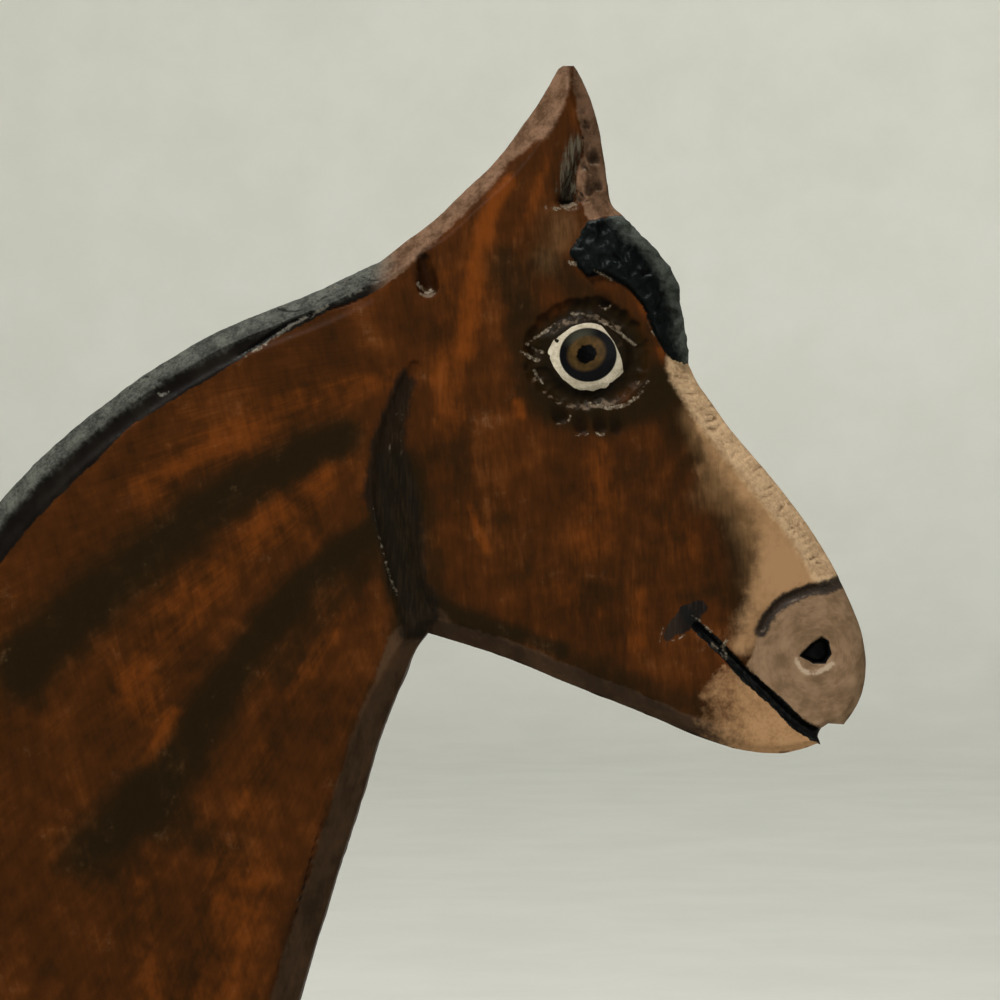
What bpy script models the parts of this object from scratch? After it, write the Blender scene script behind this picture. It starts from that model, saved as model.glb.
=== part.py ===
"""Carved wooden horse bust: head and neck sawn from one thick plank, then carved on both broad faces.

The horse faces +X, the plank's broad faces look along -Y and +Y, and Z is up.
The origin is the centre of the flat underside, on which the bust stands.
Lengths are metres. Places on the plank are (forward, up) in thousandths of the bust's height.
"""

import bmesh
import bpy
import numpy as np
from mathutils import geometry

# Sizes of the bust
HEIGHT = 0.446
PLANK_THICKNESS = 0.050

# Sawn and bevelled edges
BEVEL_WIDTH = 0.0100
BEVEL_FALL = 0.0088

# Depths of the carving, below the plank's broad face
JAW_LINE_DEPTH = 0.0030
MANE_COVE_DEPTH = 0.0024
MANE_COVE_WIDTH = 0.0080
MANE_COVE_FROM_CREST = 0.0105
MOUTH_DEPTH = 0.0042
MOUTH_CORNER_DEPTH = 0.0018
NOSTRIL_DEPTH = 0.0090
MUZZLE_LINE_DEPTH = 0.0014
EAR_HOLLOW_DEPTH = 0.0034
POLL_CUT_DEPTH = 0.0016
EYE_TROUGH_DEPTH = 0.0026

# Forms that stand up from it
EYE_DOME_RISE = 0.0022
FORELOCK_RISE = 0.0032
FORELOCK_SHOULDER = 0.0030

# The notch that parts the two ears
EAR_NOTCH_WIDTH = 0.0190
EAR_NOTCH_FLOOR = 0.0040

# Spacing of the facets
RIM_STEP = 0.0065
CARVING_STEP = 0.0042
OPEN_SPACING = 0.0110
LEAST_GAP = 0.0011

WOOD_COLOUR = (0.105, 0.036, 0.010, 1.0)
WOOD_ROUGHNESS = 0.48

# Outline, anticlockwise from the front of the underside. The third number is the bevel's share of its full width.
BREAST_AND_THROAT = [
    (265, 0, 0.90), (238, 36, 1.00), (220, 76, 1.05), (216, 116, 1.10), (228, 162, 1.20), (246, 222, 1.20),
    (266, 287, 1.15), (285, 345, 1.10), (301, 399, 1.00), (321, 448, 0.80), (331, 473, 0.60), (343, 490, 0.50),
]
UNDER_JAW = [
    (343, 490, 0.50), (366, 483, 0.70), (418, 466, 0.70), (471, 444, 0.70), (534, 419, 0.70),
    (592, 395, 0.50), (625, 385, 0.35), (658, 382, 0.30), (680, 386, 0.25), (693, 391, 0.15),
]
LIP_NOTCH = [(693, 391, 0.15), (696, 390, 0.15), (694, 397, 0.15), (697, 405, 0.15), (703, 409, 0.15), (717, 408, 0.25)]
MUZZLE = [(717, 408, 0.25), (730, 427, 0.35), (737, 455, 0.40), (733, 491, 0.40), (718, 530, 0.60)]
NOSE = [
    (718, 530, 0.60), (705, 556, 0.90), (682, 592, 0.95), (651, 632, 0.95),
    (618, 671, 0.95), (599, 697, 0.95), (585, 717, 0.90), (578, 731, 0.80),
]
FORELOCK = [
    (578, 731, 0.80), (577, 748, 1.00), (573, 778, 1.10), (565, 813, 1.10),
    (551, 833, 1.00), (534, 849, 0.90), (518, 866, 0.80),
]
EAR_FRONT = [
    (518, 866, 0.80), (509, 875, 0.80), (505, 896, 0.90), (502, 918, 0.85),
    (496, 950, 0.80), (488, 975, 0.75), (478, 996, 0.70),
]
EAR_TIP = [(478, 996, 0.70), (475, 1000, 0.70), (465, 1000, 0.70), (461, 997, 0.70)]
EAR_BACK = [
    (461, 997, 0.70), (449, 976, 0.90), (431, 949, 1.00), (404, 914, 1.00),
    (376, 887, 0.95), (348, 860, 0.90), (324, 842, 0.80), (301, 824, 0.75),
]
CREST_AND_WITHERS = [
    (301, 824, 0.75), (279, 814, 0.75), (246, 798, 0.75), (203, 781, 0.75), (159, 763, 0.75), (116, 739, 0.75),
    (73, 711, 0.75), (-12, 640, 0.80), (-85, 551, 0.80), (-144, 439, 0.80), (-179, 318, 0.85), (-190, 224, 0.90),
    (-196, 152, 0.90), (-208, 94, 0.90), (-230, 45, 0.90), (-265, 0, 0.90),
]
CURVED_STRETCHES = [BREAST_AND_THROAT, UNDER_JAW, MUZZLE, NOSE, FORELOCK, EAR_FRONT, EAR_BACK, CREST_AND_WITHERS]
CARVED_EDGES = [
    BREAST_AND_THROAT, UNDER_JAW, LIP_NOTCH, MUZZLE, NOSE, FORELOCK, EAR_FRONT, EAR_TIP, EAR_BACK, CREST_AND_WITHERS,
]

# Carved lines: where each runs, its half width in thousandths of the height at both ends, and its depth at both ends
JAW_LINE = [(332, 728), (318, 699), (306, 663), (300, 623), (302, 582), (310, 547), (323, 517), (339, 495)]
MOUTH = [(585, 496), (599, 483), (614, 469), (640, 443), (668, 416), (682, 405), (700, 398)]
MOUTH_CORNER = [(556, 487), (568, 498), (581, 506), (591, 518)]
MUZZLE_LINE = [(643, 494), (651, 507), (662, 518), (677, 525), (689, 529), (703, 531), (714, 537)]
EAR_HOLLOW = [(486, 926), (479, 905), (472, 879)]
POLL_CUT = [(341, 823), (345, 803)]
CARVED_LINES = [
    (JAW_LINE, (9, 14), (0.4 * JAW_LINE_DEPTH, JAW_LINE_DEPTH)),
    (MOUTH, (4, 6), (0.8 * MOUTH_DEPTH, MOUTH_DEPTH)),
    (MOUTH_CORNER, (7, 12), (MOUTH_CORNER_DEPTH, MOUTH_CORNER_DEPTH)),
    (MUZZLE_LINE, (4, 6), (MUZZLE_LINE_DEPTH, MUZZLE_LINE_DEPTH)),
    (EAR_HOLLOW, (4, 11), (0.3 * EAR_HOLLOW_DEPTH, EAR_HOLLOW_DEPTH)),
    (POLL_CUT, (8, 7), (POLL_CUT_DEPTH, POLL_CUT_DEPTH)),
]

# Closed shapes on the face
NOSTRIL = [(677, 470), (688, 481), (697, 487), (703, 483), (706, 471), (701, 462), (690, 462)]
NOSTRIL_WALL = 3
FORELOCK_RIM = [
    (518, 866), (498, 863), (486, 858), (478, 843), (471, 832), (478, 818), (487, 808), (498, 811),
    (511, 806), (524, 797), (537, 780), (545, 760), (553, 746), (563, 735), (578, 731),
]
PAST_THE_FORELOCK = [(630, 731), (630, 890), (518, 890)]
EYE_CENTRE = (486, 740)
EYE_HALF_SIZE = (35, 31)
EYE_TROUGH_AT = 1.32
EYE_TROUGH_HALF = 0.34
EYE_RINGS = (0.5, 0.85, 1.0, 1.16, 1.32, 1.50, 1.68)
EAR_NOTCH_FROM = 872
EAR_NOTCH_REACH = (330, 560)


def on_plank(points):
    """Places on the plank's face in metres, from thousandths of the height."""
    return np.array([point[:2] for point in points], float) * HEIGHT / 1000


def resampled(points, step):
    """Points along a line of straight runs, about a step apart, ends included."""
    runs = np.linalg.norm(np.diff(points[:, :2], axis=0), axis=1)
    along = np.concatenate([[0.0], np.cumsum(runs)])
    count = max(2, int(round(along[-1] / step)) + 1)
    wanted = np.linspace(0.0, along[-1], count)
    return np.stack([np.interp(wanted, along, column) for column in points.T], axis=1)


def smooth_curve(points, per_span=8):
    """A centripetal Catmull-Rom curve through points of any width, with the first two columns as places."""
    ends = [2 * points[0] - points[1], 2 * points[-1] - points[-2]]
    knots = np.vstack([ends[0], points, ends[1]])
    curve = []
    for a, b, c, d in zip(knots, knots[1:], knots[2:], knots[3:]):
        t0 = 0.0
        t1 = t0 + np.linalg.norm((b - a)[:2]) ** 0.5
        t2 = t1 + np.linalg.norm((c - b)[:2]) ** 0.5
        t3 = t2 + np.linalg.norm((d - c)[:2]) ** 0.5
        for t in np.linspace(t1, t2, per_span, endpoint=False):
            ab = ((t1 - t) * a + (t - t0) * b) / (t1 - t0)
            bc = ((t2 - t) * b + (t - t1) * c) / (t2 - t1)
            cd = ((t3 - t) * c + (t - t2) * d) / (t3 - t2)
            abc = ((t2 - t) * ab + (t - t0) * bc) / (t2 - t0)
            bcd = ((t3 - t) * bc + (t - t1) * cd) / (t3 - t1)
            curve.append(((t2 - t) * abc + (t - t1) * bcd) / (t2 - t1))
    return np.vstack([curve, points[-1:]])


def carved_edge():
    """The bevelled outline, from the front of the underside round to its back: places and bevel shares."""
    stretches = []
    for stretch in CARVED_EDGES:
        shares = np.array([point[2] for point in stretch])
        points = np.column_stack([on_plank(stretch), shares])
        if stretch in CURVED_STRETCHES:
            points = resampled(smooth_curve(points), RIM_STEP)
        stretches.append(points[:-1])
    last = CREST_AND_WITHERS[-1]
    stretches.append([[*on_plank([last])[0], last[2]]])
    return np.vstack(stretches)


def nearest_on_line(places, line):
    """Distance from each place to a line of straight runs, and how far along the line its nearest point is, 0 to 1."""
    runs = np.linalg.norm(np.diff(line, axis=0), axis=1)
    starts = np.concatenate([[0.0], np.cumsum(runs)])
    best = np.full(len(places), np.inf)
    share = np.zeros(len(places))
    for a, b, length, start in zip(line, line[1:], runs, starts):
        t = np.clip(((places - a) @ (b - a)) / length**2, 0.0, 1.0)
        away = np.linalg.norm(places - (a + t[:, None] * (b - a)), axis=1)
        closer = away < best
        best[closer] = away[closer]
        share[closer] = (start + t[closer] * length) / starts[-1]
    return best, share


def inside(places, loop):
    """Whether each place is inside a closed loop."""
    found = np.zeros(len(places), bool)
    for (ax, ay), (bx, by) in zip(loop, np.roll(loop, -1, axis=0)):
        if ay == by:
            continue
        crosses = (places[:, 1] >= min(ay, by)) & (places[:, 1] < max(ay, by))
        at = ax + (places[:, 1] - ay) * (bx - ax) / (by - ay)
        found ^= crosses & (places[:, 0] < at)
    return found


def eased(x):
    """0 to 1 with a gentle start and end."""
    x = np.clip(x, 0.0, 1.0)
    return x * x * (3 - 2 * x)


def bevel_fall(places, edge):
    """How far the bevelled edge falls below the plank's face at each place."""
    reach = np.zeros(len(places))
    for (ax, az, a_share), (bx, bz, b_share) in zip(edge, edge[1:]):
        run = np.array([bx - ax, bz - az])
        t = np.clip((places - (ax, az)) @ run / (run @ run), 0.0, 1.0)
        away = np.linalg.norm(places - (ax, az) - t[:, None] * run, axis=1)
        share = a_share + t * (b_share - a_share)
        reach = np.maximum(reach, share * BEVEL_WIDTH - away)
    return reach * BEVEL_FALL / BEVEL_WIDTH


def forelock_loop():
    """The forelock's outline: its carved rim on the face, closed by corners that are clear of the plank."""
    return np.vstack([smooth_curve(on_plank(FORELOCK_RIM), 3), on_plank(PAST_THE_FORELOCK)])


def eye_radius(places):
    """Distance from the eye's centre, where 1 is its rim."""
    half = np.array(EYE_HALF_SIZE) * HEIGHT / 1000
    return np.linalg.norm((places - on_plank([EYE_CENTRE])) / half, axis=1)


def rows_beside(line, offsets, step):
    """Rows of places that follow a line at each of some offsets to its left."""
    points = resampled(line, step)
    ahead = np.gradient(points, axis=0)
    left = np.column_stack([-ahead[:, 1], ahead[:, 0]])
    left /= np.linalg.norm(left, axis=1)[:, None]
    return np.vstack([points + offset * left for offset in offsets])


def carved_lines():
    """Each carved line in metres, with its half width and its depth at both ends."""
    lines = [
        (smooth_curve(on_plank(line), 4), np.array(half_widths) * HEIGHT / 1000, depths)
        for line, half_widths, depths in CARVED_LINES
    ]
    crest = smooth_curve(on_plank(CREST_AND_WITHERS[1:]), 4)
    cove = rows_beside(crest, [MANE_COVE_FROM_CREST], RIM_STEP)
    lines.append((cove, np.full(2, MANE_COVE_WIDTH / 2), (0.4 * MANE_COVE_DEPTH, MANE_COVE_DEPTH)))
    return lines


def carving_depth(places, edge):
    """Depth of all the carving below the plank's face, less what stands up from it."""
    depth = bevel_fall(places, edge)
    for line, half_widths, depths in carved_lines():
        away, share = nearest_on_line(places, line)
        half = np.interp(share, (0, 1), half_widths)
        depth += np.interp(share, (0, 1), depths) * np.clip(1 - (away / half) ** 2, 0, None)
    nostril = on_plank(NOSTRIL)
    to_wall, _ = nearest_on_line(places, np.vstack([nostril, nostril[:1]]))
    depth += inside(places, nostril) * NOSTRIL_DEPTH * eased(to_wall / (NOSTRIL_WALL * HEIGHT / 1000))
    radius = eye_radius(places)
    depth += EYE_TROUGH_DEPTH * np.clip(1 - ((radius - EYE_TROUGH_AT) / EYE_TROUGH_HALF) ** 2, 0, None)
    depth -= EYE_DOME_RISE * np.clip(1 - radius**2, 0, None)
    to_rim, _ = nearest_on_line(places, smooth_curve(on_plank(FORELOCK_RIM), 3))
    depth -= inside(places, forelock_loop()) * FORELOCK_RISE * eased(to_rim / FORELOCK_SHOULDER)
    return depth


def places_along(line, half_widths):
    """Places along a carved line and out to its sides, with a fan of them round each end."""
    half = half_widths.mean()
    rows = [rows_beside(line, half * np.array([0.0, -1.0, 1.0, -0.55, 0.55]), CARVING_STEP)]
    for end, inward, reach in ((line[0], line[1], half_widths[0]), (line[-1], line[-2], half_widths[1])):
        out = (end - inward) / np.linalg.norm(end - inward)
        side = np.array([-out[1], out[0]])
        for turn in np.radians([-60, -20, 20, 60]):
            rows.append([end + reach * (np.cos(turn) * out + np.sin(turn) * side)])
    return np.vstack(rows)


def carving_places(edge):
    """Places that the facets must pass through for the carving to show."""
    places = [on_plank([EYE_CENTRE])]
    half = np.array(EYE_HALF_SIZE) * HEIGHT / 1000
    for ring in EYE_RINGS:
        turn = np.linspace(0, 2 * np.pi, int(12 + 14 * ring), endpoint=False)
        places.append(on_plank([EYE_CENTRE]) + ring * half * np.column_stack([np.cos(turn), np.sin(turn)]))
    nostril = on_plank(NOSTRIL)
    places.append(nostril)
    places.append(nostril.mean(axis=0) + 0.6 * (nostril - nostril.mean(axis=0)))
    places.append(nostril.mean(axis=0, keepdims=True))
    for line, half_widths, _ in carved_lines():
        places.append(places_along(line, half_widths))
    rim = smooth_curve(on_plank(FORELOCK_RIM), 3)
    places.append(rows_beside(rim, [0.0, FORELOCK_SHOULDER, FORELOCK_SHOULDER / 2], CARVING_STEP))
    closed = np.vstack([edge, edge[:1]])
    for share in (1.0, 0.5):
        ahead = np.gradient(closed[:, :2], axis=0)
        left = np.column_stack([-ahead[:, 1], ahead[:, 0]]) / np.linalg.norm(ahead, axis=1)[:, None]
        places.append((closed[:, :2] + share * BEVEL_WIDTH * closed[:, 2:] * left)[:-1])
    return np.vstack(places)


def kept_apart(places, taken, loop):
    """The places inside the loop that keep the least gap from all those taken before them."""
    kept = list(taken)
    for place in places[inside(places, loop)]:
        if np.linalg.norm(np.array(kept) - place, axis=1).min() > LEAST_GAP:
            kept.append(place)
    return np.array(kept)


def open_places(taken, loop):
    """A staggered grid over the parts of the face that carry no carving."""
    low, high = loop.min(axis=0), loop.max(axis=0)
    rise = OPEN_SPACING * 3**0.5 / 2
    grid = []
    for row, z in enumerate(np.arange(low[1] + rise / 2, high[1], rise)):
        start = low[0] + (row % 2) * OPEN_SPACING / 2
        grid += [(x, z) for x in np.arange(start, high[0], OPEN_SPACING)]
    grid = np.array(grid)
    clear = np.array([np.linalg.norm(taken - place, axis=1).min() > 0.62 * OPEN_SPACING for place in grid])
    return grid[clear & inside(grid, loop)]


def underside_row(edge):
    """Places along the flat underside, from its back to its front, without the two ends."""
    back, front = edge[-1, :2], edge[0, :2]
    return resampled(np.array([back, front]), OPEN_SPACING)[1:-1]


def carved_half():
    """The near half of the bust as an open mesh: the carved face and the plank's edge back to its middle."""
    edge = carved_edge()
    loop = np.vstack([edge[:, :2], underside_row(edge)])
    places = kept_apart(carving_places(edge), loop, loop)
    places = np.vstack([places, open_places(places, loop)])
    rim = [(i, (i + 1) % len(loop)) for i in range(len(loop))]
    triangulated = geometry.delaunay_2d_cdt([tuple(place) for place in places], rim, [], 1, 1e-7)
    flat, faces, sources = triangulated[0], triangulated[2], triangulated[3]
    flat = np.array([tuple(place) for place in flat])
    face_y = -(PLANK_THICKNESS / 2 - carving_depth(flat, edge))
    made = bmesh.new()
    near = [made.verts.new((x, y, z)) for (x, z), y in zip(flat, face_y)]
    for face in faces:
        made.faces.new([near[i] for i in face])
    place_of = {source: i for i, group in enumerate(sources) for source in group}
    rim_near = [near[place_of[i]] for i in range(len(loop))]
    rim_middle = [made.verts.new((vert.co.x, 0.0, vert.co.z)) for vert in rim_near]
    for i, j in rim:
        made.faces.new((rim_near[j], rim_near[i], rim_middle[i], rim_middle[j]))
    mesh = bpy.data.meshes.new("horse_bust")
    made.to_mesh(mesh)
    made.free()
    return mesh


def ear_notch():
    """The wedge that is cut down between the ears, wide at their tips and narrow at the poll."""
    floor = EAR_NOTCH_FROM * HEIGHT / 1000
    top = 1.02 * HEIGHT
    back, front = np.array(EAR_NOTCH_REACH) * HEIGHT / 1000
    made = bmesh.new()
    bmesh.ops.create_cube(made, size=1.0)
    for vert in made.verts:
        half = EAR_NOTCH_WIDTH / 2 if vert.co.z > 0 else EAR_NOTCH_FLOOR / 2
        vert.co = (
            front if vert.co.x > 0 else back,
            half if vert.co.y > 0 else -half,
            top if vert.co.z > 0 else floor,
        )
    mesh = bpy.data.meshes.new("ear_notch")
    made.to_mesh(mesh)
    made.free()
    return mesh


def painted_wood():
    """Chestnut paint over wood."""
    material = bpy.data.materials.new("painted_wood")
    material.use_nodes = True
    shader = material.node_tree.nodes["Principled BSDF"]
    shader.inputs["Base Color"].default_value = WOOD_COLOUR
    shader.inputs["Roughness"].default_value = WOOD_ROUGHNESS
    shader.inputs["Metallic"].default_value = 0.0
    return material


def in_collection(name, obj):
    """Puts an object in a collection of the scene, made if it isn't there."""
    collection = bpy.data.collections.get(name)
    if collection is None:
        collection = bpy.data.collections.new(name)
        bpy.context.scene.collection.children.link(collection)
    collection.objects.link(obj)
    return obj


def main():
    for obj in list(bpy.data.objects):
        bpy.data.objects.remove(obj)
    bust = in_collection("Horse bust", bpy.data.objects.new("horse_bust", carved_half()))
    bust.data.materials.append(painted_wood())
    notch = in_collection("Cutters", bpy.data.objects.new("ear_notch", ear_notch()))
    notch.hide_render = True
    notch.display_type = "WIRE"
    mirror = bust.modifiers.new("far half", "MIRROR")
    mirror.use_axis = (False, True, False)
    mirror.merge_threshold = 0.0001
    cut = bust.modifiers.new("between the ears", "BOOLEAN")
    cut.operation = "DIFFERENCE"
    cut.object = notch


main()
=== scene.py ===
"""The carved and painted surface of the horse bust.

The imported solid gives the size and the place. A finer mesh of the same form replaces it and is painted here.
Places on the plank are (forward, up). The solid's own landmarks are in thousandths of the bust's height, and
marks that only the photograph gives are in its pixels: from_photo() turns those into metres.
"""
import math

import bmesh
import bpy
import numpy as np
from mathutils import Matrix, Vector, geometry, noise


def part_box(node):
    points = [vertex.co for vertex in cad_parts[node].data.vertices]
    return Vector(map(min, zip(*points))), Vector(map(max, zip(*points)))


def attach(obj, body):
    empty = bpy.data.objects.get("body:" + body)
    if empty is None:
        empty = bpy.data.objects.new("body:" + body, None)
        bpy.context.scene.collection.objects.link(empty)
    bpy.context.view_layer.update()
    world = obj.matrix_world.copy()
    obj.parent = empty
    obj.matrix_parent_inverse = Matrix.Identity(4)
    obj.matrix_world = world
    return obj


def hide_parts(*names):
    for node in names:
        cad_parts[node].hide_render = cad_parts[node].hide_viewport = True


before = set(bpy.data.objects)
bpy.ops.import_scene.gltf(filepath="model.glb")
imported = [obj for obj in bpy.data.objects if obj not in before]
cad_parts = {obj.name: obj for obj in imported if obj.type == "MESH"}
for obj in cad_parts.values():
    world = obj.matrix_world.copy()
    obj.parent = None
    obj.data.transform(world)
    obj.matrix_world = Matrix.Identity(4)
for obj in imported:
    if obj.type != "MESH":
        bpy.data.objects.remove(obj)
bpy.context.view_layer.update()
NODE = "horse_bust"
SOLID_LOW, SOLID_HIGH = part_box(NODE)

# The photograph's frame, laid on the plank
HEIGHT = SOLID_HIGH.z - SOLID_LOW.z
HEIGHT_PIXELS = 1116
PIXEL = HEIGHT / HEIGHT_PIXELS
ORIGIN_PIXEL = (44, 1180)
PHOTO_CENTRE_PIXEL = (500, 500)
PHOTO_WIDTH_PIXELS = 1000

# Sizes shared with the solid
PLANK_THICKNESS = 0.050
BEVEL_WIDTH = 0.0100
BEVEL_FALL = 0.0088
EAR_NOTCH_WIDTH = 0.0190
EAR_NOTCH_FLOOR = 0.0040
EAR_NOTCH_FROM = 872
EAR_NOTCH_REACH = (330, 560)

# Spacing of the mesh, whose triangles are laid coarse and then halved twice
HALVINGS = 2
EDGE_STEP = 0.0014
WALL_ROWS = 13
EDGE_SAMPLING = 0.003
FINE_SPACING = 0.0036
OPEN_SPACING = 0.0100
FAR_COARSER = 1.5
EYE_FINE_REACH = 0.026
CARVING_MARGIN = 0.001
FINE_TO_OPEN = (0.001, 0.014)
NOTCH_CUTS = 39
FACE_SEEDS = {-1: 11.0, 1: 29.0}

# What the knife and the saw left on the edge and between the ears
WALL_SWELL = 0.0004
KNIFE_FACETS = 0.0005
KNIFE_FACET_SIZE = 0.014
NOTCH_STRAY = 0.0005
NOTCH_TOP = 1.02 * HEIGHT
# Sizes of the coarse and the fine bumps along the outline
EDGE_BUMPS = (0.0075, 0.0030)
# Slow swell of the broad faces and their finer unevenness: depth and size
FACE_SWELL = (0.00020, 0.045)
FACE_GRAIN = (0.00005, 0.006)
# How soon the cuts across the chamfers and the forelock's lumps fade toward their limits
CUTS_FADE = 0.003
LUMPS_FADE = 0.003

CAMERA_LENS = 135
CAMERA_SENSOR = 36
CAMERA_SEES_TO = 20

# Stage and light, in metres, watts and linear colours
BOWL_FLOOR = 2.4
BOWL_FILLET = 0.8
BOWL_HEIGHT = 1.6
BOWL_SIDES = 96
BOWL_FILLET_ROWS = 10
BOWL_SINK = 0.0002
WALL_COLOUR = (0.77, 0.77, 0.70, 1.0)
WALL_COLOUR_LIGHT = (0.81, 0.81, 0.745, 1.0)
FLOOR_SHARE = 0.86
LIT_PLACE = (0.13, -0.025, 0.28)
KEY_LIGHT = ((-0.50, -1.05, 1.80), LIT_PLACE, 0.35, 44, (1.0, 0.99, 0.96))
FILL_LIGHT = ((0.9, -2.0, 0.7), LIT_PLACE, 1.2, 7, (0.95, 0.98, 1.0))
WALL_LIGHT = ((0.5, 1.2, 2.6), (0.9, 3.2, 0.3), 1.6, 27, (1.0, 1.0, 0.99))
ROOM_COLOUR = (0.93, 0.95, 0.90, 1.0)
ROOM_LIGHT = 0.14

# Outline, anticlockwise from the front of the underside. The third number is the bevel's share of its width.
BREAST_AND_THROAT = [
    (265, 0, 0.90), (238, 36, 1.00), (220, 76, 1.05), (216, 116, 1.10), (228, 162, 1.20),
    (246, 222, 1.20), (266, 287, 1.15), (285, 345, 1.10), (301, 399, 1.00), (321, 448, 0.80),
    (331, 473, 0.60), (343, 490, 0.50),
]
UNDER_JAW = [
    (343, 490, 0.50), (366, 483, 0.70), (418, 466, 0.70), (471, 444, 0.70), (534, 419, 0.70),
    (592, 395, 0.50), (625, 385, 0.35), (658, 382, 0.30), (680, 386, 0.25), (693, 391, 0.15),
]
LIP_NOTCH = [
    (693, 391, 0.15), (696, 390, 0.15), (694, 397, 0.15), (697, 405, 0.15), (703, 409, 0.15),
    (717, 408, 0.25),
]
MUZZLE = [(717, 408, 0.25), (730, 427, 0.35), (737, 455, 0.40), (733, 491, 0.40), (718, 530, 0.60)]
NOSE = [
    (718, 530, 0.60), (705, 556, 0.90), (682, 592, 0.95), (651, 632, 0.95),
    (618, 671, 0.95), (599, 697, 0.95), (585, 717, 0.90), (578, 731, 0.80),
]
FORELOCK = [
    (578, 731, 0.80), (577, 748, 1.00), (573, 778, 1.10), (565, 813, 1.10),
    (551, 833, 1.00), (534, 849, 0.90), (518, 866, 0.80),
]
EAR_FRONT = [
    (518, 866, 0.80), (509, 875, 0.80), (505, 896, 0.90), (502, 918, 0.85),
    (496, 950, 0.80), (488, 975, 0.75), (478, 996, 0.70),
]
EAR_TIP = [(478, 996, 0.70), (475, 1000, 0.70), (465, 1000, 0.70), (461, 997, 0.70)]
EAR_BACK = [
    (461, 997, 0.70), (449, 976, 0.90), (431, 949, 1.00), (404, 914, 1.00),
    (376, 887, 0.95), (348, 860, 0.90), (324, 842, 0.80), (301, 824, 0.75),
]
CREST_AND_WITHERS = [
    (301, 824, 0.75), (279, 814, 0.75), (246, 798, 0.75), (203, 781, 0.75), (159, 763, 0.75),
    (116, 739, 0.75), (73, 711, 0.75), (-12, 640, 0.80), (-85, 551, 0.80), (-144, 439, 0.80),
    (-179, 318, 0.85), (-190, 224, 0.90), (-196, 152, 0.90), (-208, 94, 0.90), (-230, 45, 0.90),
    (-265, 0, 0.90),
]
# Each stretch of the edge with how far the tool wandered from the line, in metres
EDGE_STRETCHES = [
    (BREAST_AND_THROAT, 0.00014), (UNDER_JAW, 0.00014), (LIP_NOTCH, 0.0), (MUZZLE, 0.00010),
    (NOSE, 0.00014), (FORELOCK, 0.00070), (EAR_FRONT, 0.00016), (EAR_TIP, 0.0), (EAR_BACK, 0.00016),
    (CREST_AND_WITHERS, 0.00026),
]
STRAIGHT_STRETCHES = [LIP_NOTCH, EAR_TIP]
# Where the mesh is fine along the outline: the stretch, how far in from it, and how far off it always counts
FINE_STRETCHES = [
    (NOSE, 0.012, 0), (EAR_FRONT, 0.012, 0), (EAR_BACK, 0.012, 0), (CREST_AND_WITHERS, 0.008, 0),
    (BREAST_AND_THROAT, 0.012, 0.004), (UNDER_JAW, 0.012, 0.004), (MUZZLE, 0.012, 0.004),
]

# Carved lines: where each runs, its half width in thousandths and its depth in metres at both ends
JAW_LINE = [(332, 728), (319, 699), (308, 663), (306, 623), (314, 582), (322, 547), (330, 517), (340, 497)]
MOUTH = [(585, 496), (599, 483), (614, 469), (640, 443), (668, 416), (682, 405), (700, 398)]
MUZZLE_LINE = [(643, 494), (651, 507), (662, 518), (677, 525), (689, 529), (703, 531), (714, 537)]
EAR_HOLLOW = [(486, 926), (479, 905), (472, 879)]
POLL_CUT = [(341, 823), (345, 803)]
CARVED_LINES = [
    (JAW_LINE, (7, 19), (0.0012, 0.0030)),
    (MOUTH, (4, 6), (0.0034, 0.0042)),
    (MUZZLE_LINE, (4, 6), (0.0014, 0.0014)),
    (EAR_HOLLOW, (4, 11), (0.0010, 0.0034)),
    (POLL_CUT, (8, 7), (0.0016, 0.0016)),
]
MANE_COVE_DEPTH = 0.0024
MANE_COVE_WIDTH = 0.0080
MANE_COVE_FROM_CREST = 0.0105

# Closed shapes on the face
NOSTRIL = [(677, 470), (688, 481), (697, 487), (703, 483), (706, 471), (701, 462), (690, 462)]
NOSTRIL_DEPTH = 0.0090
NOSTRIL_WALL = 0.0013
FORELOCK_RIM = [
    (518, 866), (498, 863), (486, 858), (478, 843), (471, 832), (478, 818), (487, 808), (498, 811),
    (511, 806), (524, 797), (537, 780), (545, 760), (553, 746), (563, 735), (578, 731),
]
PAST_THE_FORELOCK = [(630, 731), (630, 890), (518, 890)]
FORELOCK_RISE = 0.0032
FORELOCK_SHOULDER = 0.0020
EYE_CENTRE = (486, 740)
EYE_HALF_SIZE = (35, 31)
EYE_DOME_RISE = 0.0022
EYE_TROUGH_DEPTH = 0.0026
EYE_TROUGH_AT = 1.32
EYE_TROUGH_HALF = 0.34
EYE_CUTS = 19
EYE_CUTS_REACH = 0.6
FORELOCK_LUMPS = 0.0046

# Single cuts of a gouge: the pixels where it entered and where it stopped, its width in pixels, its depth
GOUGE_CUTS = [
    ((556, 398), (562, 424), 19, 0.0012), ((578, 405), (582, 435), 16, 0.0010),
    ((598, 408), (601, 434), 15, 0.0011), ((615, 408), (617, 435), 15, 0.0010),
    ((601, 288), (607, 309), 17, 0.0010), ((424, 262), (430, 297), 24, 0.0021),
    ((420, 248), (424, 274), 14, 0.0012),
    ((591, 146), (595, 165), 15, 0.0020), ((596, 176), (600, 192), 12, 0.0015),
    ((587, 178), (590, 197), 11, 0.0015), ((587, 118), (587, 130), 10, 0.0012),
    ((583, 106), (584, 115), 7, 0.0009), ((581, 190), (582, 203), 10, 0.0012),
    ((583, 158), (585, 171), 8, 0.0011), ((564, 193), (566, 208), 26, 0.0013),
    ((533, 345), (530, 357), 12, 0.0009),
    ((541, 368), (537, 380), 13, 0.0008), ((524, 362), (527, 372), 9, 0.0007),
    ((539, 330), (532, 340), 10, 0.0006), ((640, 372), (636, 384), 9, 0.0007),
]
GOUGE_STOP = 0.0011
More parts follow.
